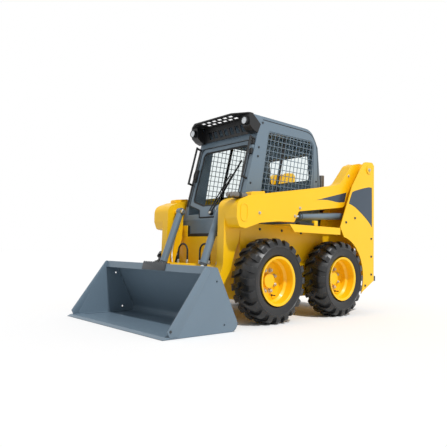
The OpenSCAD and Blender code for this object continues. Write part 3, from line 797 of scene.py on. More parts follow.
@dataclass
class Wheel:
    """One wheel: its lugged tyre, the nuts and studs on the disc and a valve stem."""

    name: str
    side: Side
    axle_y: float
    disc_x: float = 597.0
    stud_circle: float = 102.0
    nut_radius: float = 17.0
    valve_reach: float = 152.0
    valve_turn: float = 205.0
    wheel_x: float = 625.0
    half_width: float = 132.0
    rim_radius: float = 224.0
    ring_radius: float = 313.65
    tip_radius: float = 387.0
    lug_height: float = 24.0
    lug_count: int = 20
    nut_count: int = 8

    def carcass(self) -> bpy.types.Object:
        """Turn the tyre without its lugs, about the X axis.

        Returns:
            The carcass at the origin, in object mode.
        """
        h, ring, crown = self.half_width, self.ring_radius, self.tip_radius - self.lug_height
        bead = self.rim_radius
        wall = [(bead - 14, h - 40), (bead + 8, h - 22), (bead + 26, h - 12), (ring - 34, h - 5),
                (ring - 14, h - 3), (ring - 10, h + 2), (ring - 2, h + 2), (ring + 4, h - 3),
                (ring + 14, h - 14), (crown - 12, h - 34), (crown, h - 62)]
        far_wall = [(r, -x) for r, x in reversed(wall)]
        return turned("carcass", wall + far_wall, Vector(), Vector((1, 0, 0)), 72)

    def lug(self) -> bpy.types.Object:
        """Draw one diagonal lug from the middle of the tread to the shoulder.

        Returns:
            The lug at the top of a wheel at the origin, in object mode.
        """
        tip, ring = self.tip_radius, self.ring_radius
        # Each station: across the tyre, both edges round the tyre, foot and top from the axle
        stations = [(10, 14, 54, 346, tip), (62, -15, 33, 346, tip), (96, -29, 29, 330, tip - 4),
                    (120, -29, 29, 306, tip - 22), (129, -29, 29, 296, ring + 6)]
        sections = []
        for x, low, high, foot, top in stations:
            flat = [(low, foot), (high, foot), (high, math.sqrt(top ** 2 - high ** 2)),
                    (low, math.sqrt(top ** 2 - low ** 2))]
            sections.append([Vector((x, y, z)) * MM for y, z in flat])
        piece = lofted("lug", sections)
        soften(piece, 3.0, 1)
        return piece

    def tyre(self, shop: Paintshop) -> None:
        """Fit the tyre over its plain solid.

        Args:
            shop: Where the finishes come from.
        """
        s = self.side.value
        hub = Matrix.Translation(at(s * self.wheel_x, self.axle_y, AXLE_Z_MM))
        centre = hub @ Matrix.Diagonal((s, 1, 1, 1))
        far_side = Matrix.Diagonal((-1, 1, 1, 1))
        pitch = 2 * math.pi / self.lug_count
        places = []
        for k in range(self.lug_count):
            places.append(centre @ Matrix.Rotation(k * pitch, 4, "X"))
            places.append(centre @ Matrix.Rotation((k + 0.5) * pitch, 4, "X") @ far_side)
        lugs = copied("lugs", self.lug(), places)
        body = copied(f"lugged_tyre_{self.name}", self.carcass(), [centre])
        joined(body.name, [body, lugs])
        bpy.ops.object.mode_set(mode="EDIT")
        bpy.ops.mesh.select_all(action="SELECT")
        bpy.ops.mesh.normals_make_consistent(inside=False)
        bpy.ops.object.mode_set(mode="OBJECT")
        coat = Coat.TYRE_FRONT if self.axle_y == 0 else Coat.TYRE_REAR
        shop.mount(body, f"wheel_{self.name}", coat)
        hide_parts(f"tyre_{self.name}")

    def spot(self, reach: float, turn: float) -> Vector:
        """Return a place on the disc at a distance and turn from the axle."""
        a = math.radians(turn)
        return at(self.side.value * self.disc_x, self.axle_y - reach * math.sin(a),
                  AXLE_Z_MM + reach * math.cos(a))

    def build(self, shop: Paintshop) -> None:
        """Fit the tyre, the nuts, their studs and the valve.

        Args:
            shop: Where the finishes come from.
        """
        self.tyre(shop)
        out = Vector((self.side.value, 0, 0))
        body = f"wheel_{self.name}"
        turns = [(k + 0.5) * 360 / self.nut_count for k in range(self.nut_count)]
        places = [facing(self.spot(self.stud_circle, t), out, t) for t in turns]
        nuts = copied(f"nuts_{self.name}", hexagon_bolt(self.nut_radius, 20.0), places)
        shop.mount(nuts, body, Coat.ZINC)
        rod = [(0, 16), (8, 16), (8, 30), (6.5, 32), (0, 32)]
        stud = turned("stud", rod, Vector(), Vector((0, 0, 1)), 14)
        shop.mount(copied(f"studs_{self.name}", stud, places), body, Coat.ZINC)
        stem = [(0, -1), (10, -1), (10, 4), (6, 9), (5, 12), (5, 34), (6, 35), (6, 45), (4, 47), (0, 47)]
        valve = turned(f"valve_{self.name}", stem, self.spot(self.valve_reach, self.valve_turn), out, 16)
        shop.mount(valve, body, Coat.SEAL)


@dataclass
class Bucket:
    """The bucket's side strips, serrated step and weld seams."""

    half_width: float = 792.5
    strip_width: float = 60.0
    # The strip's foot on the cutting edge: its front, its rear and its height
    strip_foot: tuple[float, float, float] = (-1222.0, -1150.0, 14.0)
    bolt_rise: float = 22.0
    strip_thickness: float = 14.0
    strip_proud: float = 5.0
    lip: tuple[float, float] = (-1242.0, 54.0)
    top: tuple[float, float] = (-898.0, 524.0)
    step_x: tuple[float, float] = (-112.0, 242.0)
    tooth: float = 29.5
    weld_radius: float = 5.0

    def strips(self, shop: Paintshop) -> None:
        """Fit an edge strip with its bolt on each side.

        Args:
            shop: Where the finishes come from.
        """
        (y0, z0), (y1, z1) = self.lip, self.top
        long = math.hypot(y1 - y0, z1 - z0)
        back_y = (z1 - z0) / long * self.strip_width
        back_z = -(y1 - y0) / long * self.strip_width
        front, rear, foot = self.strip_foot
        for side in Side:
            s = side.value
            x = s * (self.half_width + self.strip_proud - self.strip_thickness)
            word = side.name.lower()
            corners = [at(x, y0, z0), at(x, y1, z1), at(x, y1 + back_y, z1 + back_z), at(x, rear, foot),
                       at(x, front, foot)]
            thick = Vector((s * self.strip_thickness * MM, 0, 0))
            strip = plate(f"side_strip_{word}", corners, thick, 2.0)
            shop.mount(strip, "tool", Coat.GREY)
            face = s * (self.half_width + self.strip_proud)
            spot = at(face, y0 + back_y / 2, z0 + back_z / 2 + self.bolt_rise)
            head = copied(f"strip_bolt_{word}", hexagon_bolt(8.0, 6.0), [facing(spot, Vector((s, 0, 0)))])
            shop.mount(head, "tool", Coat.DARK)

    def on_lip(self, x: float, z: float) -> Vector:
        """Return a place on the leaning front of the top edge."""
        return at(x, -893 + (z - 470) * 0.2, z)

    def step(self, shop: Paintshop) -> None:
        """Fit the serrated grip and the tread of the step plate.

        Args:
            shop: Where the finishes come from.
        """
        x0, x1 = self.step_x
        saw = [self.on_lip(x0, 472), self.on_lip(x1, 472)]
        for k in range(int((x1 - x0) / self.tooth), 0, -1):
            right = x0 + k * self.tooth
            for share, z in ((0.0, 528), (0.3, 545), (0.7, 545), (0.98, 528)):
                saw.append(self.on_lip(right - self.tooth * share, z))
        shop.mount(plate("step_grip", saw, Vector((0, -6 * MM, 0)), 1.0), "tool", Coat.DARK)
        corners = level_sheet(x0, x1, -882, -838, 521)
        shop.mount(plate("step_tread", corners, Vector((0, 0, 13 * MM)), 2.0), "tool", Coat.DARK)

    def welds(self, shop: Paintshop) -> None:
        """Lay a weld seam where the sheet meets each side.

        Args:
            shop: Where the finishes come from.
        """
        line = [(-1128, 15), (-1000, 15), (-860, 15), (-700, 15), (-610, 18), (-575, 33), (-566, 60),
                (-580, 98), (-632, 198), (-700, 332), (-772, 472)]
        for side in Side:
            x = side.value * (self.half_width - 13)
            path = eased([at(x, y, z) for y, z in line], 14)
            bead = bar(f"weld_{side.name.lower()}", path, self.weld_radius)
            shop.mount(bead, "tool", Coat.GREY)

    def build(self, shop: Paintshop) -> None:
        """Fit everything on the bucket.

        Args:
            shop: Where the finishes come from.
        """
        self.strips(shop)
        self.step(shop)
        self.welds(shop)


@dataclass
class Arms:
    """Pin caps, knee rims, stripes, couplers, steel lines and fasteners of the loader arms."""

    face_x: float = 635.0
    film: float = 0.8
    coupler_x: float = 578.0
    coupler_z: float = 1142.0
    leg_x: float = 389.0
    line_radius: float = 8.0
    tilt_pin_x: float = 263.0

    def stripes(self, shop: Paintshop) -> None:
        """Lay the slate stripe on each arm's outer face.

        Args:
            shop: Where the finishes come from.
        """
        outline = [(665, 1183), (750, 1202), (832, 1223), (980, 1258), (1115, 1291), (1200, 1311),
                   (1165, 1204), (1070, 1192), (1000, 1193), (936, 1199), (850, 1201), (760, 1196)]
        for side in Side:
            s = side.value
            corners = [at(s * self.face_x, y, z) for y, z in outline]
            stripe = plate(f"arm_stripe_{side.name.lower()}", corners, Vector((s * self.film * MM, 0, 0)))
            shop.mount(stripe, "arms", Coat.FILM)

    def couplers(self, shop: Paintshop) -> None:
        """Fit the quick couplers on the left knee, with a dark collar.

        Args:
            shop: Where the finishes come from.
        """
        profile = [(0, -172), (19, -172), (21, -169), (21, -138), (25, -134), (25, -98), (22, -95),
                   (22, -60), (26, -56), (26, -20), (22, -16), (22, 6), (0, 6)]
        band = [(22.5, -92), (27, -90), (27, -66), (22.5, -64)]
        rearward = Vector((0, 1, 0))
        for k, x in enumerate((self.coupler_x - 22, self.coupler_x + 30)):
            spot = at(x, -306, self.coupler_z)
            body = turned(f"coupler_{k + 1}", profile, spot, rearward, 28)
            shop.mount(body, "arms", Coat.STEEL)
            collar = turned(f"coupler_collar_{k + 1}", band, spot, rearward, 28)
            shop.mount(collar, "arms", Coat.SEAL)

    def lines(self, shop: Paintshop) -> None:
        """Run a steel hydraulic line down the inner face of each leg.

        Args:
            shop: Where the finishes come from.
        """
        run = [(0, -296, 990), (0, -306, 930), (0, -330, 820), (0, -356, 720), (-6, -376, 640),
               (-26, -392, 574), (-44, -395, 524)]
        for side in Side:
            s = side.value
            x = self.leg_x - self.line_radius
            path = eased([at(s * (x + dx), y, z) for dx, y, z in run], 8)
            line = bar(f"steel_line_{side.name.lower()}", path, self.line_radius)
            shop.mount(line, "arms", Coat.ZINC)

    def fasteners(self, shop: Paintshop) -> None:
        """Fit the bolts on the arms' outer faces.

        Args:
            shop: Where the finishes come from.
        """
        spots = [(1236, 1496), (340, 1000), (415, 1084), (-150, 1000)]
        for side in Side:
            s = side.value
            places = [facing(at(s * self.face_x, y, z), Vector((s, 0, 0))) for y, z in spots]
            heads = copied(f"arm_bolts_{side.name.lower()}", hexagon_bolt(11.0, 8.0), places)
            shop.mount(heads, "arms", Coat.ZINC)

    def pin_caps(self, shop: Paintshop) -> None:
        """Cap the inner end of each tilt cylinder's base pin.

        Args:
            shop: Where the finishes come from.
        """
        for side in Side:
            s = side.value
            cap = turned(f"tilt_pin_cap_{side.name.lower()}", [(0, -3), (23, -3), (23, 5), (19, 9), (0, 9)],
                         at(s * self.tilt_pin_x, -332, 1040), Vector((-s, 0, 0)), 28)
            shop.mount(cap, "arms", Coat.ZINC)

    def knee_rims(self, shop: Paintshop) -> None:
        """Lay the raised rim of the oval opening on each knee.

        Args:
            shop: Where the finishes come from.
        """
        oval = [(-388, 900, 44), (-296, 920, 44), (-296, 1086, 44), (-388, 1066, 44)]
        for side in Side:
            s = side.value
            corners = [at(s * self.face_x, y, z) for y, z in smooth_outline(oval)]
            rim = plate(f"knee_rim_{side.name.lower()}", corners, Vector((s * 4 * MM, 0, 0)), 1.5, 12.0)
            shop.mount(rim, "arms", Coat.YELLOW)

    def build(self, shop: Paintshop) -> None:
        """Fit everything on the arms.

        Args:
            shop: Where the finishes come from.
        """
        self.pin_caps(shop)
        self.knee_rims(shop)
        self.stripes(shop)
        self.couplers(shop)
        self.lines(shop)
        self.fasteners(shop)


@dataclass
class HoseLoops:
    """The rubber hose loops that stand on the cross tube, with their crimped ends."""

    centre: tuple[float, float] = (168.0, -395.0)
    bend: float = 72.0
    foot_z: float = 525.0
    leg: float = 115.0
    radius: float = 9.0

    def route(self, side: Side) -> list[Vector]:
        """Return the points of one loop from end to end.

        Args:
            side: Which loop.

        Returns:
            Its centreline.
        """
        shape = [(-self.bend, self.leg * k / 5) for k in range(5)]
        for k in range(21):
            turn = math.pi * k / 20
            shape.append((-self.bend * math.cos(turn), self.leg + self.bend * math.sin(turn)))
        shape += [(self.bend, self.leg * (4 - k) / 5) for k in range(5)]
        x, y = self.centre
        return [at(side.value * (x - d), y, self.foot_z + h) for d, h in shape]

    def build(self, shop: Paintshop) -> None:
        """Fit both loops and their ends.

        Args:
            shop: Where the finishes come from.
        """
        for side in Side:
            word = side.name.lower()
            path = self.route(side)
            hose = bar(f"hose_loop_{word}", path, self.radius, solid=False)
            shop.mount(hose, "arms", Coat.HOSE)
            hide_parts("hoses")
            sleeve = [(9.2, -4), (14, -4), (14, -2), (12.5, 0), (12.5, 6), (13.5, 8), (13.5, 12),
                      (12.5, 14), (12.5, 20), (13.5, 22), (13.5, 28), (11, 32), (9.2, 32)]
            master = turned("crimp", sleeve, Vector(), Vector((0, 0, 1)), 20)
            feet = [Matrix.Translation(p) for p in (path[0], path[-1])]
            ends = copied(f"hose_crimps_{word}", master, feet)
            shop.mount(ends, "arms", Coat.ZINC)


@dataclass
class Cab:
    """Screens, seams, seals, hinge covers, fasteners and lamp glasses of the cab."""

    wall_x: float = 430.0
    glass_x: float = 399.0
    screen_x: float = 420.0
    wire: float = 6.0
    pitch: float = 56.0
    border: float = 10.0
    lean: float = 0.17
    # How far the faces of the level and the leaning wires lie inside the screen's frame
    level_sunk: float = 0.4
    leaning_sunk: float = 1.0
    window_y: tuple[float, float] = (44.0, 884.0)
    window_z: tuple[float, float] = (1085.0, 1850.0)
    panel_y: float = -205.3

    def window(self, inset: float) -> list[tuple[float, float]]:
        """Return the side window's outline.

        Args:
            inset: How far it is set in.

        Returns:
            Its places along and up the wall.
        """
        front, rear = self.window_y
        low, high = self.window_z
        return smooth_outline([(front + inset, low + inset, 40), (front + 128 + inset, high - 12 - inset, 40),
                               (rear - inset, high - inset, 60), (rear - inset, low + inset, 40)])

    def windows(self, shop: Paintshop) -> None:
        """Fit the sliding pane's upright and the rear corner of each side window.

        Args:
            shop: Where the finishes come from.
        """
        for side in Side:
            s = side.value
            word = side.name.lower()
            bars = [(256, 1097), (292, 1097), (474, 1832), (438, 1832)]
            corners = [at(s * (self.glass_x + 1), y, z) for y, z in bars]
            upright = plate(f"window_upright_{word}", corners, Vector((s * 10 * MM, 0, 0)), 2.0)
            shop.mount(upright, "chassis", Coat.SEAL)
            rear = [(806, 1098), (872, 1098), (872, 1640)]
            corners = [at(s * (self.wall_x - 3.6), y, z) for y, z in rear]
            corner = plate(f"window_frame_{word}", corners, Vector((s * 3 * MM, 0, 0)), 1.0)
            shop.mount(corner, "chassis", Coat.GREY)

    def wires(self) -> list[tuple[float, list[tuple[float, float]]]]:
        """Return the wires of a screen, the level ones first.

        Returns:
            How far each wire's faces are sunk, and its outline along and up the wall.
        """
        front, rear = self.window_y
        low, high = self.window_z[0], self.window_z[1] - self.wire
        half = self.wire / 2
        made = []
        for k in range(1, int((high - low) / self.pitch) + 1):
            z = low + k * self.pitch
            y = front + (z - low) * self.lean + half
            end = rear - half
            made.append((self.level_sunk, [(y, z - half), (end, z - half), (end, z + half), (y, z + half)]))
        for k in range(1, int((rear - front) / self.pitch)):
            y = front + k * self.pitch
            top = min(high - half, low + (rear - y) / self.lean - half)
            over = y + (top - low) * self.lean
            made.append((self.leaning_sunk, [(y - half, low + half), (y + half, low + half),
                                             (over + half, top), (over - half, top)]))
        return made

    def screens(self, shop: Paintshop) -> None:
        """Weave the wire screen of each side window in its narrow frame.

        Args:
            shop: Where the finishes come from.
        """
        for side in Side:
            s = side.value
            name = f"window_screen_{side.name.lower()}"
            edge = [at(s * self.screen_x, y, z) for y, z in self.window(0.5)]
            parts = [plate(name, edge, Vector((s * self.wire * MM, 0, 0)), 0.5, self.border)]
            for sunk, outline in self.wires():
                corners = [at(s * (self.screen_x + sunk), y, z) for y, z in outline]
                parts.append(plate(name, corners, Vector((s * (self.wire - 2 * sunk) * MM, 0, 0))))
            screen = joined(name, parts)
            shop.mount(screen, "chassis", Coat.GREY)
            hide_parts(f"screen_{side.name.lower()}")

    def roof_seams(self, shop: Paintshop) -> None:
        """Run the sealed seam of each side wall below the roof and down the rear edge.

        Args:
            shop: Where the finishes come from.
        """
        line = [(91, 1936), (400, 1936), (700, 1936), (800, 1930), (868, 1898), (915, 1845), (938, 1780),
                (952, 1640), (966, 1400), (968, 1180)]
        for side in Side:
            path = eased([at(side.value * (self.wall_x - 1), y, z) for y, z in line], 6)
            shop.mount(bar(f"roof_seam_{side.name.lower()}", path, 4.0), "chassis", Coat.SEAL)

    def rear_window(self, shop: Paintshop) -> None:
        """Fit the rear window's seal on the leaning rear wall.

        Args:
            shop: Where the finishes come from.
        """
        half, low, high = 310.0, 1440.0, 1740.0
        flat = [(-half, low, 50), (half, low, 50), (half, high, 50), (-half, high, 50)]
        # The wall leans in by 45 mm over 390 mm, and the seal stands 1 mm off it
        edge = [at(x, 1000 - (z - 1400) * 45 / 390 + 1, z) for x, z in smooth_outline(flat)]
        rubber = plate("rear_window_seal", edge, Vector((0, 5 * MM, 0)), 1.0, 16.0)
        shop.mount(rubber, "chassis", Coat.SEAL)

    def post(self, shop: Paintshop) -> None:
        """Fit the hinge covers on the left front post, and on the right post a black rubber strip that paints
        the shade on its shaded edge.

        Args:
            shop: Where the finishes come from.
        """
        for k, (low, high) in enumerate(((640, 694), (740, 786))):
            corners = raked_sheet(392, 424, -1, low, high)
            cover = plate(f"hinge_cover_{k + 1}", corners, out_from_post(30), 5.0)
            shop.mount(cover, "chassis", Coat.PLASTIC)
        # The right post's outer edge lies in shadow, and this black strip paints that shade on it
        strip = plate("post_strip_right", raked_sheet(-428, -394, -0.5, 150, 790), out_from_post(3), 1.0)
        shop.mount(strip, "chassis", Coat.SEAL)

    def fasteners(self, shop: Paintshop) -> None:
        """Fit the bolts on the side walls.

        Args:
            shop: Where the finishes come from.
        """
        spots = [(86, 1905), (36, 1657), (25, 1568), (-70, 1300), (905, 1180), (930, 1420)]
        for side in Side:
            s = side.value
            places = [facing(at(s * self.wall_x, y, z), Vector((s, 0, 0))) for y, z in spots]
            heads = copied(f"cab_bolts_{side.name.lower()}", hexagon_bolt(8.0, 6.0), places)
            shop.mount(heads, "chassis", Coat.DARK)

    def front_seal(self, shop: Paintshop) -> None:
        """Fit the rubber lip above the front panel and the yellow upright at each end of it.

        Args:
            shop: Where the finishes come from.
        """
        low, top, high = 790.5, 822.0, 904.0
        wide, narrow = 329, 306
        outline = [(-wide, low), (wide, low), (wide, high), (narrow, high), (narrow, top), (-narrow, top),
                   (-narrow, high), (-wide, high)]
        corners = [at(x, self.panel_y, z) for x, z in outline]
        lip = plate("front_panel_seal", corners, Vector((0, -9 * MM, 0)), 3.0)
        shop.mount(lip, "chassis", Coat.SEAL)
        for side in Side:
            s = side.value
            corners = upright_sheet(s * 331, s * 456, -215, 789, 905)
            upright = plate(f"front_upright_{side.name.lower()}", corners, Vector((0, -10 * MM, 0)), 2.0)
            shop.mount(upright, "chassis", Coat.YELLOW)

    def lamps(self, shop: Paintshop) -> None:
        """Fit a lens and a bezel on each work lamp and a lens on each rear lamp.

        Args:
            shop: Where the finishes come from.
        """
        for side in Side:
            s = side.value
            word = side.name.lower()
            front = at(s * LAMP_X_MM, -132, LAMP_Z_MM)
            ahead = Vector((0, -1, 0))
            dome = [(0, 0.2), (33, 0.2), (33, 2), (27, 4.5), (16, 6.5), (0, 7.5)]
            lens = turned(f"work_lens_{word}", dome, front, ahead, 28)
            shop.mount(lens, "chassis", Coat.LENS)
            rim = [(34.4, -26), (39, -26), (39, 5), (37, 7.5), (34.4, 6)]
            bezel = turned(f"work_bezel_{word}", rim, front, ahead, 28)
            shop.mount(bezel, "chassis", Coat.PLASTIC)
            dome = [(0, 0.2), (42, 0.2), (42, 3), (34, 7), (18, 9.5), (0, 10)]
            rear = turned(f"rear_lens_{word}", dome, at(s * 580, 1668, 1480), -ahead, 28)
            shop.mount(rear, "chassis", Coat.AMBER)

    def build(self, shop: Paintshop) -> None:
        """Fit everything on the cab.

        Args:
            shop: Where the finishes come from.
        """
        self.windows(shop)
        self.screens(shop)
        self.roof_seams(shop)
        self.rear_window(shop)
        self.post(shop)
        self.fasteners(shop)
        self.front_seal(shop)
        self.lamps(shop)


@dataclass
class Visor:
    """The sun visor: a slotted plate, lamp housings, a louvred panel and the brows beside it."""

    half_width: float = 444.0
    inner_width: float = 385.0
    front_y: float = -203.0
    side_y: float = -112.0
    roof_front_y: float = 62.0
    top_z: float = 1970.0
    thickness: float = 12.0
    slot_pitch: float = 82.0
    housing_x: float = 345.0

    def top(self, shop: Paintshop) -> None:
        """Cut the top plate with its two rows of slots.

        Args:
            shop: Where the finishes come from.
        """
        w, n = self.half_width, self.inner_width - 1
        flat = [(-w, -56, 2), (-w, self.side_y, 30), (-281, self.front_y, 60), (281, self.front_y, 60),
                (w, self.side_y, 30), (w, -56, 2), (n, -56, 2), (n, self.roof_front_y - 1, 2),
                (-n, self.roof_front_y - 1, 2), (-n, -56, 2)]
        edge = [at(x, y, self.top_z - self.thickness) for x, y in smooth_outline(flat)]
        slots = []
        for k in range(6):
            for row in (68, 142):
                x, y = (k - 2.5) * self.slot_pitch, self.front_y + row
                skew = [(-22, -30), (42, -30), (22, 30), (-42, 30)]
                corners = [at(x + dx, y + dy, self.top_z - 30) for dx, dy in skew]
                slots.append(plate("slot", corners, Vector((0, 0, 60 * MM))))
        sheet = pierced(plate("visor_top", edge, Vector((0, 0, self.thickness * MM))), slots)
        soften(sheet, 2.0)
        shop.mount(sheet, "chassis", Coat.PLASTIC)
        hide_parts("visor")

    def housings(self, shop: Paintshop) -> None:
        """Model the lamp housing at each end, open round its lamp.

        Args:
            shop: Where the finishes come from.
        """
        f = self.side_y
        flat = [(f, 1958, 4), (f + 8, 1848, 12), (f + 60, 1808, 20), (8, 1790, 6), (12, 1806, 4),
                (44, 1880, 4), (-54, 1958, 4)]
        hole = [(0, -80), (40, -80), (40, 10), (0, 10)]
        for side in Side:
            s = side.value
            word = side.name.lower()
            corners = [at(s * self.housing_x, y, z) for y, z in smooth_outline(flat)]
            across = Vector((s * (self.half_width - self.housing_x) * MM, 0, 0))
            case = plate(f"lamp_housing_{word}", corners, across)
            bore = turned("bore", hole, at(s * LAMP_X_MM, -102, LAMP_Z_MM), Vector((0, 1, 0)), 36)
            shop.mount(pierced(case, [bore]), "chassis", Coat.PLASTIC)

    def louvres(self, shop: Paintshop) -> None:
        """Cut the louvred panel behind the plate.

        Args:
            shop: Where the finishes come from.
        """
        low, high, w = 1800.0, 1962.0, self.inner_width - 38
        panel = plate("louvre_panel", upright_sheet(-w, w, 2, low, high), Vector((0, -8 * MM, 0)))
        slots = []
        for k in range(-3, 4):
            x = k * self.slot_pitch
            skew = [(-8, 28), (44, 28), (8, 106), (-44, 106)]
            corners = [at(x + dx, 20, low + dz) for dx, dz in skew]
            slots.append(plate("slot", corners, Vector((0, -40 * MM, 0))))
        shop.mount(pierced(panel, slots), "chassis", Coat.PLASTIC)

    def brows(self, shop: Paintshop) -> None:
        """Carry each side wall forward to the plate.

        Args:
            shop: Where the finishes come from.
        """
        flat = [(48, 1888, 2), (-55, 1964, 2), (-48, 1968, 2), (72, 1968, 2), (72, 1896, 2)]
        for side in Side:
            s = side.value
            corners = [at(s * 386, y, z) for y, z in smooth_outline(flat)]
            brow = plate(f"cab_brow_{side.name.lower()}", corners, Vector((s * 44.2 * MM, 0, 0)), 1.5)
            shop.mount(brow, "chassis", Coat.GREY)

    def build(self, shop: Paintshop) -> None:
        """Make the whole visor.

        Args:
            shop: Where the finishes come from.
        """
        self.top(shop)
        self.housings(shop)
        self.louvres(shop)
        self.brows(shop)


@dataclass
class Door:
    """The cab door's glass border, seal, latch, second wiper arm and wiper cap."""

    half_width: float = 385.0
    gap: float = 6.0

    def build(self, shop: Paintshop) -> None:
        """Fit everything on the door.

        Args:
            shop: Where the finishes come from.
        """
        w = self.half_width - 46
        pane = smooth_outline([(-w, 200, 40), (-150, 140, 40), (130, 140, 40), (w, 200, 40), (w, 760, 50),
                               (-w, 760, 50)])
        corners = [raked(x, 9.4, s) for x, s in pane]
        border = plate("door_glass_border", corners, out_from_post(1.6), 0.0, 20.0)
        shop.mount(border, "cab_door", Coat.SEAL)
        v = self.half_width - self.gap
        leaf = smooth_outline([(-v, 160, 20), (-192, 100, 30), (-170, 20, 30), (150, 20, 30), (172, 100, 30),
                               (v, 160, 20), (v, 806, 50), (-v, 806, 50)])
        seal = plate("door_seal", [raked(x, -0.2, s) for x, s in leaf], out_from_post(4), 1.2, 9.0)
        shop.mount(seal, "cab_door", Coat.SEAL)
        case = plate("door_latch_case", raked_sheet(-372, -346, -0.3, 420, 560), out_from_post(24), 5.0)
        shop.mount(case, "cab_door", Coat.PLASTIC)
        bow = [(-22, 440), (-44, 456), (-48, 490), (-44, 524), (-22, 540)]
        grip = eased([raked(-359, y, s) for y, s in bow], 6)
        shop.mount(bar("door_latch_grip", grip, 7.0), "cab_door", Coat.PLASTIC)
        reach = [(-4, -14, 72), (-4, -24, 76), (90, -24, 254), (186, -22, 434), (206, -20, 450)]
        second = eased([raked(*place) for place in reach], 4)
        shop.mount(bar("wiper_second_arm", second, 6.0), "cab_door", Coat.PLASTIC)
        crown = [(0, 27.5), (15, 27.5), (15, 34), (11, 38), (0, 38)]
        cap = turned("wiper_cap", crown, raked(20, 0, 60), out_from_post(1), 24)
        shop.mount(cap, "cab_door", Coat.ZINC)


@dataclass
class Towers:
    """Panels, pivot bolts and fasteners of the rear towers."""

    face_x: float = 700.0
    film: float = 0.8
    pivot: tuple[float, float] = (1530.0, 1592.0)

    def build(self, shop: Paintshop) -> None:
        """Fit everything on the towers.

        Args:
            shop: Where the finishes come from.
        """
        sweep = [(1150, 1184), (1180, 1252), (1212, 1312), (1270, 1334), (1339, 1352), (1440, 1378),
                 (1540, 1399), (1602, 1398), (1605, 1170), (1605, 947), (1560, 988), (1501, 1030),
                 (1440, 1066), (1381, 1098), (1322, 1128), (1264, 1154), (1206, 1172)]
        for side in Side:
            s = side.value
            word = side.name.lower()
            out = Vector((s, 0, 0))
            panel = plate(f"tower_panel_{word}", [at(s * self.face_x, y, z) for y, z in sweep],
                          Vector((s * self.film * MM, 0, 0)))
            shop.mount(panel, "chassis", Coat.FILM)
            cap = copied(f"pivot_bolt_{word}", hexagon_bolt(15.0, 10.0),
                         [facing(at(s * (self.face_x + 10), *self.pivot), out, 10)])
            shop.mount(cap, "chassis", Coat.ZINC)
            spots = [(1265, 1034), (1100, 980), (1590, 620), (1590, 420), (1470, 300), (1590, 820)]
            heads = copied(f"tower_bolts_{word}", hexagon_bolt(10.0, 7.0),
                           [facing(at(s * self.face_x, y, z), out, 7 * k) for k, (y, z) in enumerate(spots)])
            shop.mount(heads, "chassis", Coat.DARK)


@dataclass
class Chassis:
    """Fasteners of the frame, the black trays (a real black strip, drawn longer as painted shade) and arm
    stops on the fenders, and the exhaust collar.
    """

    side_x: float = 465.0
    fender_z: float = 915.0

    def build(self, shop: Paintshop) -> None:
        """Fit everything on the frame.

        Args:
            shop: Where the finishes come from.
        """
        spots = [(31, 864), (344, 862), (640, 850)]
        for side in Side:
            s = side.value
            word = side.name.lower()
            places = [facing(at(s * self.side_x, y, z), Vector((s, 0, 0))) for y, z in spots]
            shop.mount(copied(f"frame_bolts_{word}", hexagon_bolt(10.0, 7.0), places), "chassis", Coat.DARK)
            # Each black tray is a real black strip at its rear end, and further forward it is painted shade
            # in the gap under the arm
            corners = level_sheet(s * 640, s * 690, 345, 568, self.fender_z)
            strip_and_shade = plate(f"fender_tray_{word}", corners, Vector((0, 0, 26 * MM)), 4.0)
            shop.mount(strip_and_shade, "chassis", Coat.SEAL)
            corners = level_sheet(s * 656, s * 692, 574, 628, self.fender_z)
            stop = plate(f"arm_stop_{word}", corners, Vector((0, 0, 54 * MM)), 5.0)
            shop.mount(stop, "chassis", Coat.YELLOW)
        ring = [(32.6, 0), (52, 0), (52, 8), (42, 14), (42, 44), (39, 48), (32.6, 48)]
        collar = turned("exhaust_collar", ring, at(215, 1310, 1221), Vector((0, 0, 1)), 32)
        shop.mount(collar, "chassis", Coat.PLASTIC)


@dataclass
class RearDoors:
    """The latch of the rear door."""

    face_y: float = 1640.0

    def build(self, shop: Paintshop) -> None:
        """Fit the latch and its grip.

        Args:
            shop: Where the finishes come from.
        """
        corners = upright_sheet(-430, -380, self.face_y, 760, 880)
        case = plate("rear_latch_case", corners, Vector((0, 10 * MM, 0)), 4.0)
        shop.mount(case, "rear_door", Coat.PLASTIC)
        bow = [(8, 780), (28, 794), (32, 820), (28, 846), (8, 860)]
        grip = eased([at(-405, self.face_y + y, z) for y, z in bow], 6)
        shop.mount(bar("rear_latch_grip", grip, 7.0), "rear_door", Coat.PLASTIC)


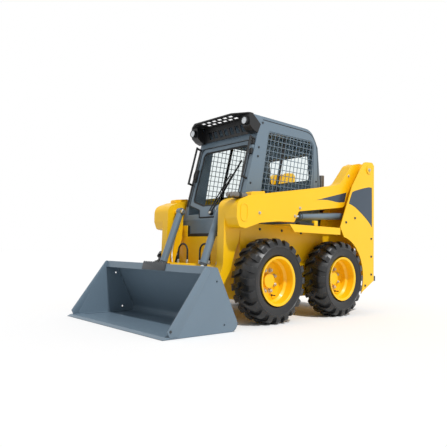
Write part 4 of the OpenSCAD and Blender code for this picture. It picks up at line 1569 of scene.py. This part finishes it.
@dataclass
class Cylinders:
    """Gland rings of the lift and tilt cylinders."""

    lift_x: float = 577.5
    lift_base: tuple[float, float] = (1290.0, 1060.0)
    lift_eye: tuple[float, float] = (340.0, 1000.0)
    tilt_x: float = 310.0
    tilt_base: tuple[float, float] = (-332.0, 1040.0)
    tilt_eye: tuple[float, float] = (-588.0, 365.0)

    def dress(self, shop: Paintshop, word: str, x: float, base: tuple[float, float],
              eye: tuple[float, float], radius: float, gland: float) -> None:
        """Fit the gland ring of one cylinder.

        Args:
            shop: Where finishes come from.
            word: The cylinder's name.
            x: Its place across the machine.
            base: Its base pin.
            eye: Its rod eye.
            radius: The barrel's radius.
            gland: The distance of the gland's front from the base pin.
        """
        foot = at(x, *base)
        way = (at(x, *eye) - foot).normalized()
        body = f"{word.split('_')[0]}_barrels"
        bore = radius * 0.66
        profile = [(bore, 0), (radius + 1, 0), (radius + 4, 3), (radius + 4, 15), (radius + 1, 18),
                   (bore, 18)]
        ring = turned(f"gland_{word}", profile, foot + way * ((gland - 19) * MM), way, 28)
        shop.mount(ring, body, Coat.DARK)

    def build(self, shop: Paintshop) -> None:
        """Fit the ring of each cylinder.

        Args:
            shop: Where the finishes come from.
        """
        for side in Side:
            word = side.name.lower()
            s = side.value
            lift = math.hypot(self.lift_base[0] - self.lift_eye[0], self.lift_base[1] - self.lift_eye[1])
            self.dress(shop, f"lift_{word}", s * self.lift_x, self.lift_base, self.lift_eye, 37.0, lift - 130)
            tilt = math.hypot(self.tilt_base[0] - self.tilt_eye[0], self.tilt_base[1] - self.tilt_eye[1])
            self.dress(shop, f"tilt_{word}", s * self.tilt_x, self.tilt_base, self.tilt_eye, 35.0, tilt - 165)


@dataclass
class Seat:
    """Two vinyl cushions, blown up from smaller blocks and sewn in channels, on their box and shell."""

    half_width: float = 245.0
    voxel: float = 6.0
    pressure: float = 4.0
    cap: float = 14.0
    last_step: int = 20
    channels: tuple[float, float, float] = (-120.0, 0.0, 120.0)
    channel_width: float = 9.0
    channel_depth: float = 7.0

    def pad(self, name: str, corners: Sequence[tuple[float, float]], inset: float) -> bpy.types.Object:
        """Model one cushion from its side outline.

        Args:
            name: The piece's name.
            corners: Its side outline, in length and height.
            inset: How far its ends lie inside the seat's width.

        Returns:
            The cushion, in object mode.
        """
        half = self.half_width - inset
        piece = plate(name, [at(-half, y, z) for y, z in corners], Vector((2 * half * MM, 0, 0)), 26.0)
        net = piece.modifiers.new("net", "REMESH")
        net.mode = "VOXEL"
        net.voxel_size = self.voxel * MM
        hold(piece)
        bpy.ops.object.modifier_apply(modifier="net")
        self.blow(piece)
        self.sew(piece)
        fine = piece.modifiers.new("fine", "SUBSURF")
        fine.levels = 1
        fine.render_levels = 1
        bpy.ops.object.modifier_apply(modifier="fine")
        return piece

    def blow(self, piece: bpy.types.Object) -> None:
        """Swell the cushion under its own pressure and cap how far each point goes.

        Args:
            piece: The remeshed cushion, held in object mode.
        """
        start = [v.co.copy() for v in piece.data.vertices]
        cloth = piece.modifiers.new("fill", "CLOTH")
        cloth.settings.use_pressure = True
        cloth.settings.uniform_pressure_force = self.pressure
        cloth.settings.effector_weights.gravity = 0.0
        scene = bpy.context.scene
        for step in range(1, self.last_step + 1):
            scene.frame_set(step)
        bpy.ops.object.modifier_apply(modifier="fill")
        scene.frame_set(1)
        moves = [(point.co - first).length for point, first in zip(piece.data.vertices, start)]
        LOG.info("%s swells by up to %.1f mm before the cap", piece.name, max(moves) / MM)
        for point, first in zip(piece.data.vertices, start):
            move = point.co - first
            if move.length > self.cap * MM:
                point.co = first + move * (self.cap * MM / move.length)

    def sew(self, piece: bpy.types.Object) -> None:
        """Press three sewn channels into the cushion, along its length.

        Args:
            piece: The swollen cushion.
        """
        middle = sum((v.co for v in piece.data.vertices), Vector()) / len(piece.data.vertices)
        for point in piece.data.vertices:
            for line in self.channels:
                depth = math.exp(-((point.co.x - line * MM) / (self.channel_width * MM)) ** 2)
                point.co += (middle - point.co).normalized() * depth * self.channel_depth * MM

    def build(self, shop: Paintshop) -> None:
        """Make both cushions in the seat's place, and what carries them.

        Args:
            shop: Where the finishes come from.
        """
        base = self.pad("seat_cushion", [(492, 976), (492, 1028), (806, 1018), (806, 976)], 12.0)
        shop.mount(base, "chassis", Coat.VINYL)
        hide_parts("seat")
        back = self.pad("seat_back", [(832, 1034), (874, 1366), (918, 1366), (880, 1034)], 12.0)
        shop.mount(back, "chassis", Coat.VINYL)
        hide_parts("seat")
        box = plate("seat_box", level_sheet(-240, 240, 520, 860, 900), Vector((0, 0, 66 * MM)), 8.0)
        shop.mount(box, "chassis", Coat.PLASTIC)
        corners = [at(-200, 862, 930), at(-200, 886, 930), at(-200, 926, 1340), at(-200, 912, 1340)]
        shell = plate("seat_shell", corners, Vector((400 * MM, 0, 0)), 6.0)
        shop.mount(shell, "chassis", Coat.PLASTIC)


@dataclass
class Studio:
    """Pale floor, soft light and the camera at the photograph's angle."""

    spot: tuple[float, float, float] = (3.6913, -3.5150, 0.6486)
    azimuth: float = 48.28
    elevation: float = -3.23
    roll: float = 1.18
    lens_mm: float = 39.29
    sun_from: tuple[float, float, float] = (0.60, -0.08, 0.80)
    sun_level: float = 2.38
    sky_level: float = 0.46
    sun_spread: float = 4.0
    floor_size: float = 120.0
    sensor_mm: float = 36.0

    def camera(self) -> None:
        """Place the camera."""
        a, e, r = (math.radians(v) for v in (self.azimuth, self.elevation, self.roll))
        back = Vector((math.sin(a) * math.cos(e), -math.cos(a) * math.cos(e), math.sin(e)))
        right = Vector((math.cos(a), math.sin(a), 0.0))
        up = back.cross(right)
        level = right * math.cos(r) + up * math.sin(r)
        rise = -right * math.sin(r) + up * math.cos(r)
        data = bpy.data.cameras.new("camera")
        data.lens = self.lens_mm
        data.sensor_width = self.sensor_mm
        eye = bpy.data.objects.new("camera", data)
        bpy.context.scene.collection.objects.link(eye)
        turn = Matrix((level, rise, back)).transposed().to_4x4()
        eye.matrix_world = Matrix.Translation(self.spot) @ turn
        bpy.context.scene.camera = eye

    def floor(self) -> None:
        """Lay the pale floor."""
        clear_bench()
        bpy.ops.mesh.primitive_plane_add(size=self.floor_size)
        slab = bpy.context.object
        slab.name = "floor"
        made, tree, place = blank("floor_paint_pale")
        tone = add(tree, "ShaderNodeTexNoise", {"Vector": place, "Scale": 0.5})
        white = add(tree, "ShaderNodeMix",
                    {0: tone.outputs["Fac"], 6: linear("#FBFBFB"), 7: linear("#F9F9F9")},
                    data_type="RGBA")
        close(tree, add(tree, "ShaderNodeBsdfDiffuse", {"Color": white.outputs[2]}))
        slab.data.materials.append(made)

    def light(self) -> None:
        """Set the white surround and one broad, high lamp on the machine's left."""
        world = bpy.data.worlds.new("surround")
        bpy.context.scene.world = world
        world.use_nodes = True
        tree = world.node_tree
        tree.nodes.clear()
        path = add(tree, "ShaderNodeLightPath")
        seen = add(tree, "ShaderNodeMath",
                   {0: path.outputs["Is Camera Ray"], 1: path.outputs["Is Glossy Ray"]},
                   operation="MAXIMUM")
        through = add(tree, "ShaderNodeMath", {0: seen.outputs[0], 1: path.outputs["Is Transmission Ray"]},
                      operation="MAXIMUM")
        level = add(tree, "ShaderNodeMix", {0: through.outputs[0], 2: self.sky_level, 3: 1.0})
        ground = add(tree, "ShaderNodeBackground",
                     {"Color": (1.0, 1.0, 1.0, 1.0), "Strength": level.outputs[0]})
        add(tree, "ShaderNodeOutputWorld", {"Surface": ground.outputs[0]})
        data = bpy.data.lights.new("high_lamp", "SUN")
        data.energy = self.sun_level
        data.angle = math.radians(self.sun_spread)
        lamp = bpy.data.objects.new("high_lamp", data)
        bpy.context.scene.collection.objects.link(lamp)
        lamp.rotation_euler = Vector(self.sun_from).to_track_quat("Z", "Y").to_euler()

    def set_view(self) -> None:
        """Use the plain colour transform."""
        bpy.context.scene.view_settings.view_transform = "Standard"


def main() -> None:
    """Build the scene in order."""
    logging.basicConfig(level=logging.INFO)
    studio = Studio()
    studio.camera()
    studio.floor()
    studio.light()
    studio.set_view()
    shop = Paintshop()
    shop.paint_nodes()
    HoseLoops().build(shop)
    for end, axle in (("f", 0.0), ("r", REAR_AXLE_MM)):
        for side in Side:
            Wheel(f"{end}{side.name[0].lower()}", side, axle).build(shop)
    for assembly in (Bucket(), Arms(), Cab(), Visor(), Door(), Towers(), Chassis(), RearDoors(),
                     Cylinders(), Seat()):
        assembly.build(shop)


if __name__ == "__main__":
    main()
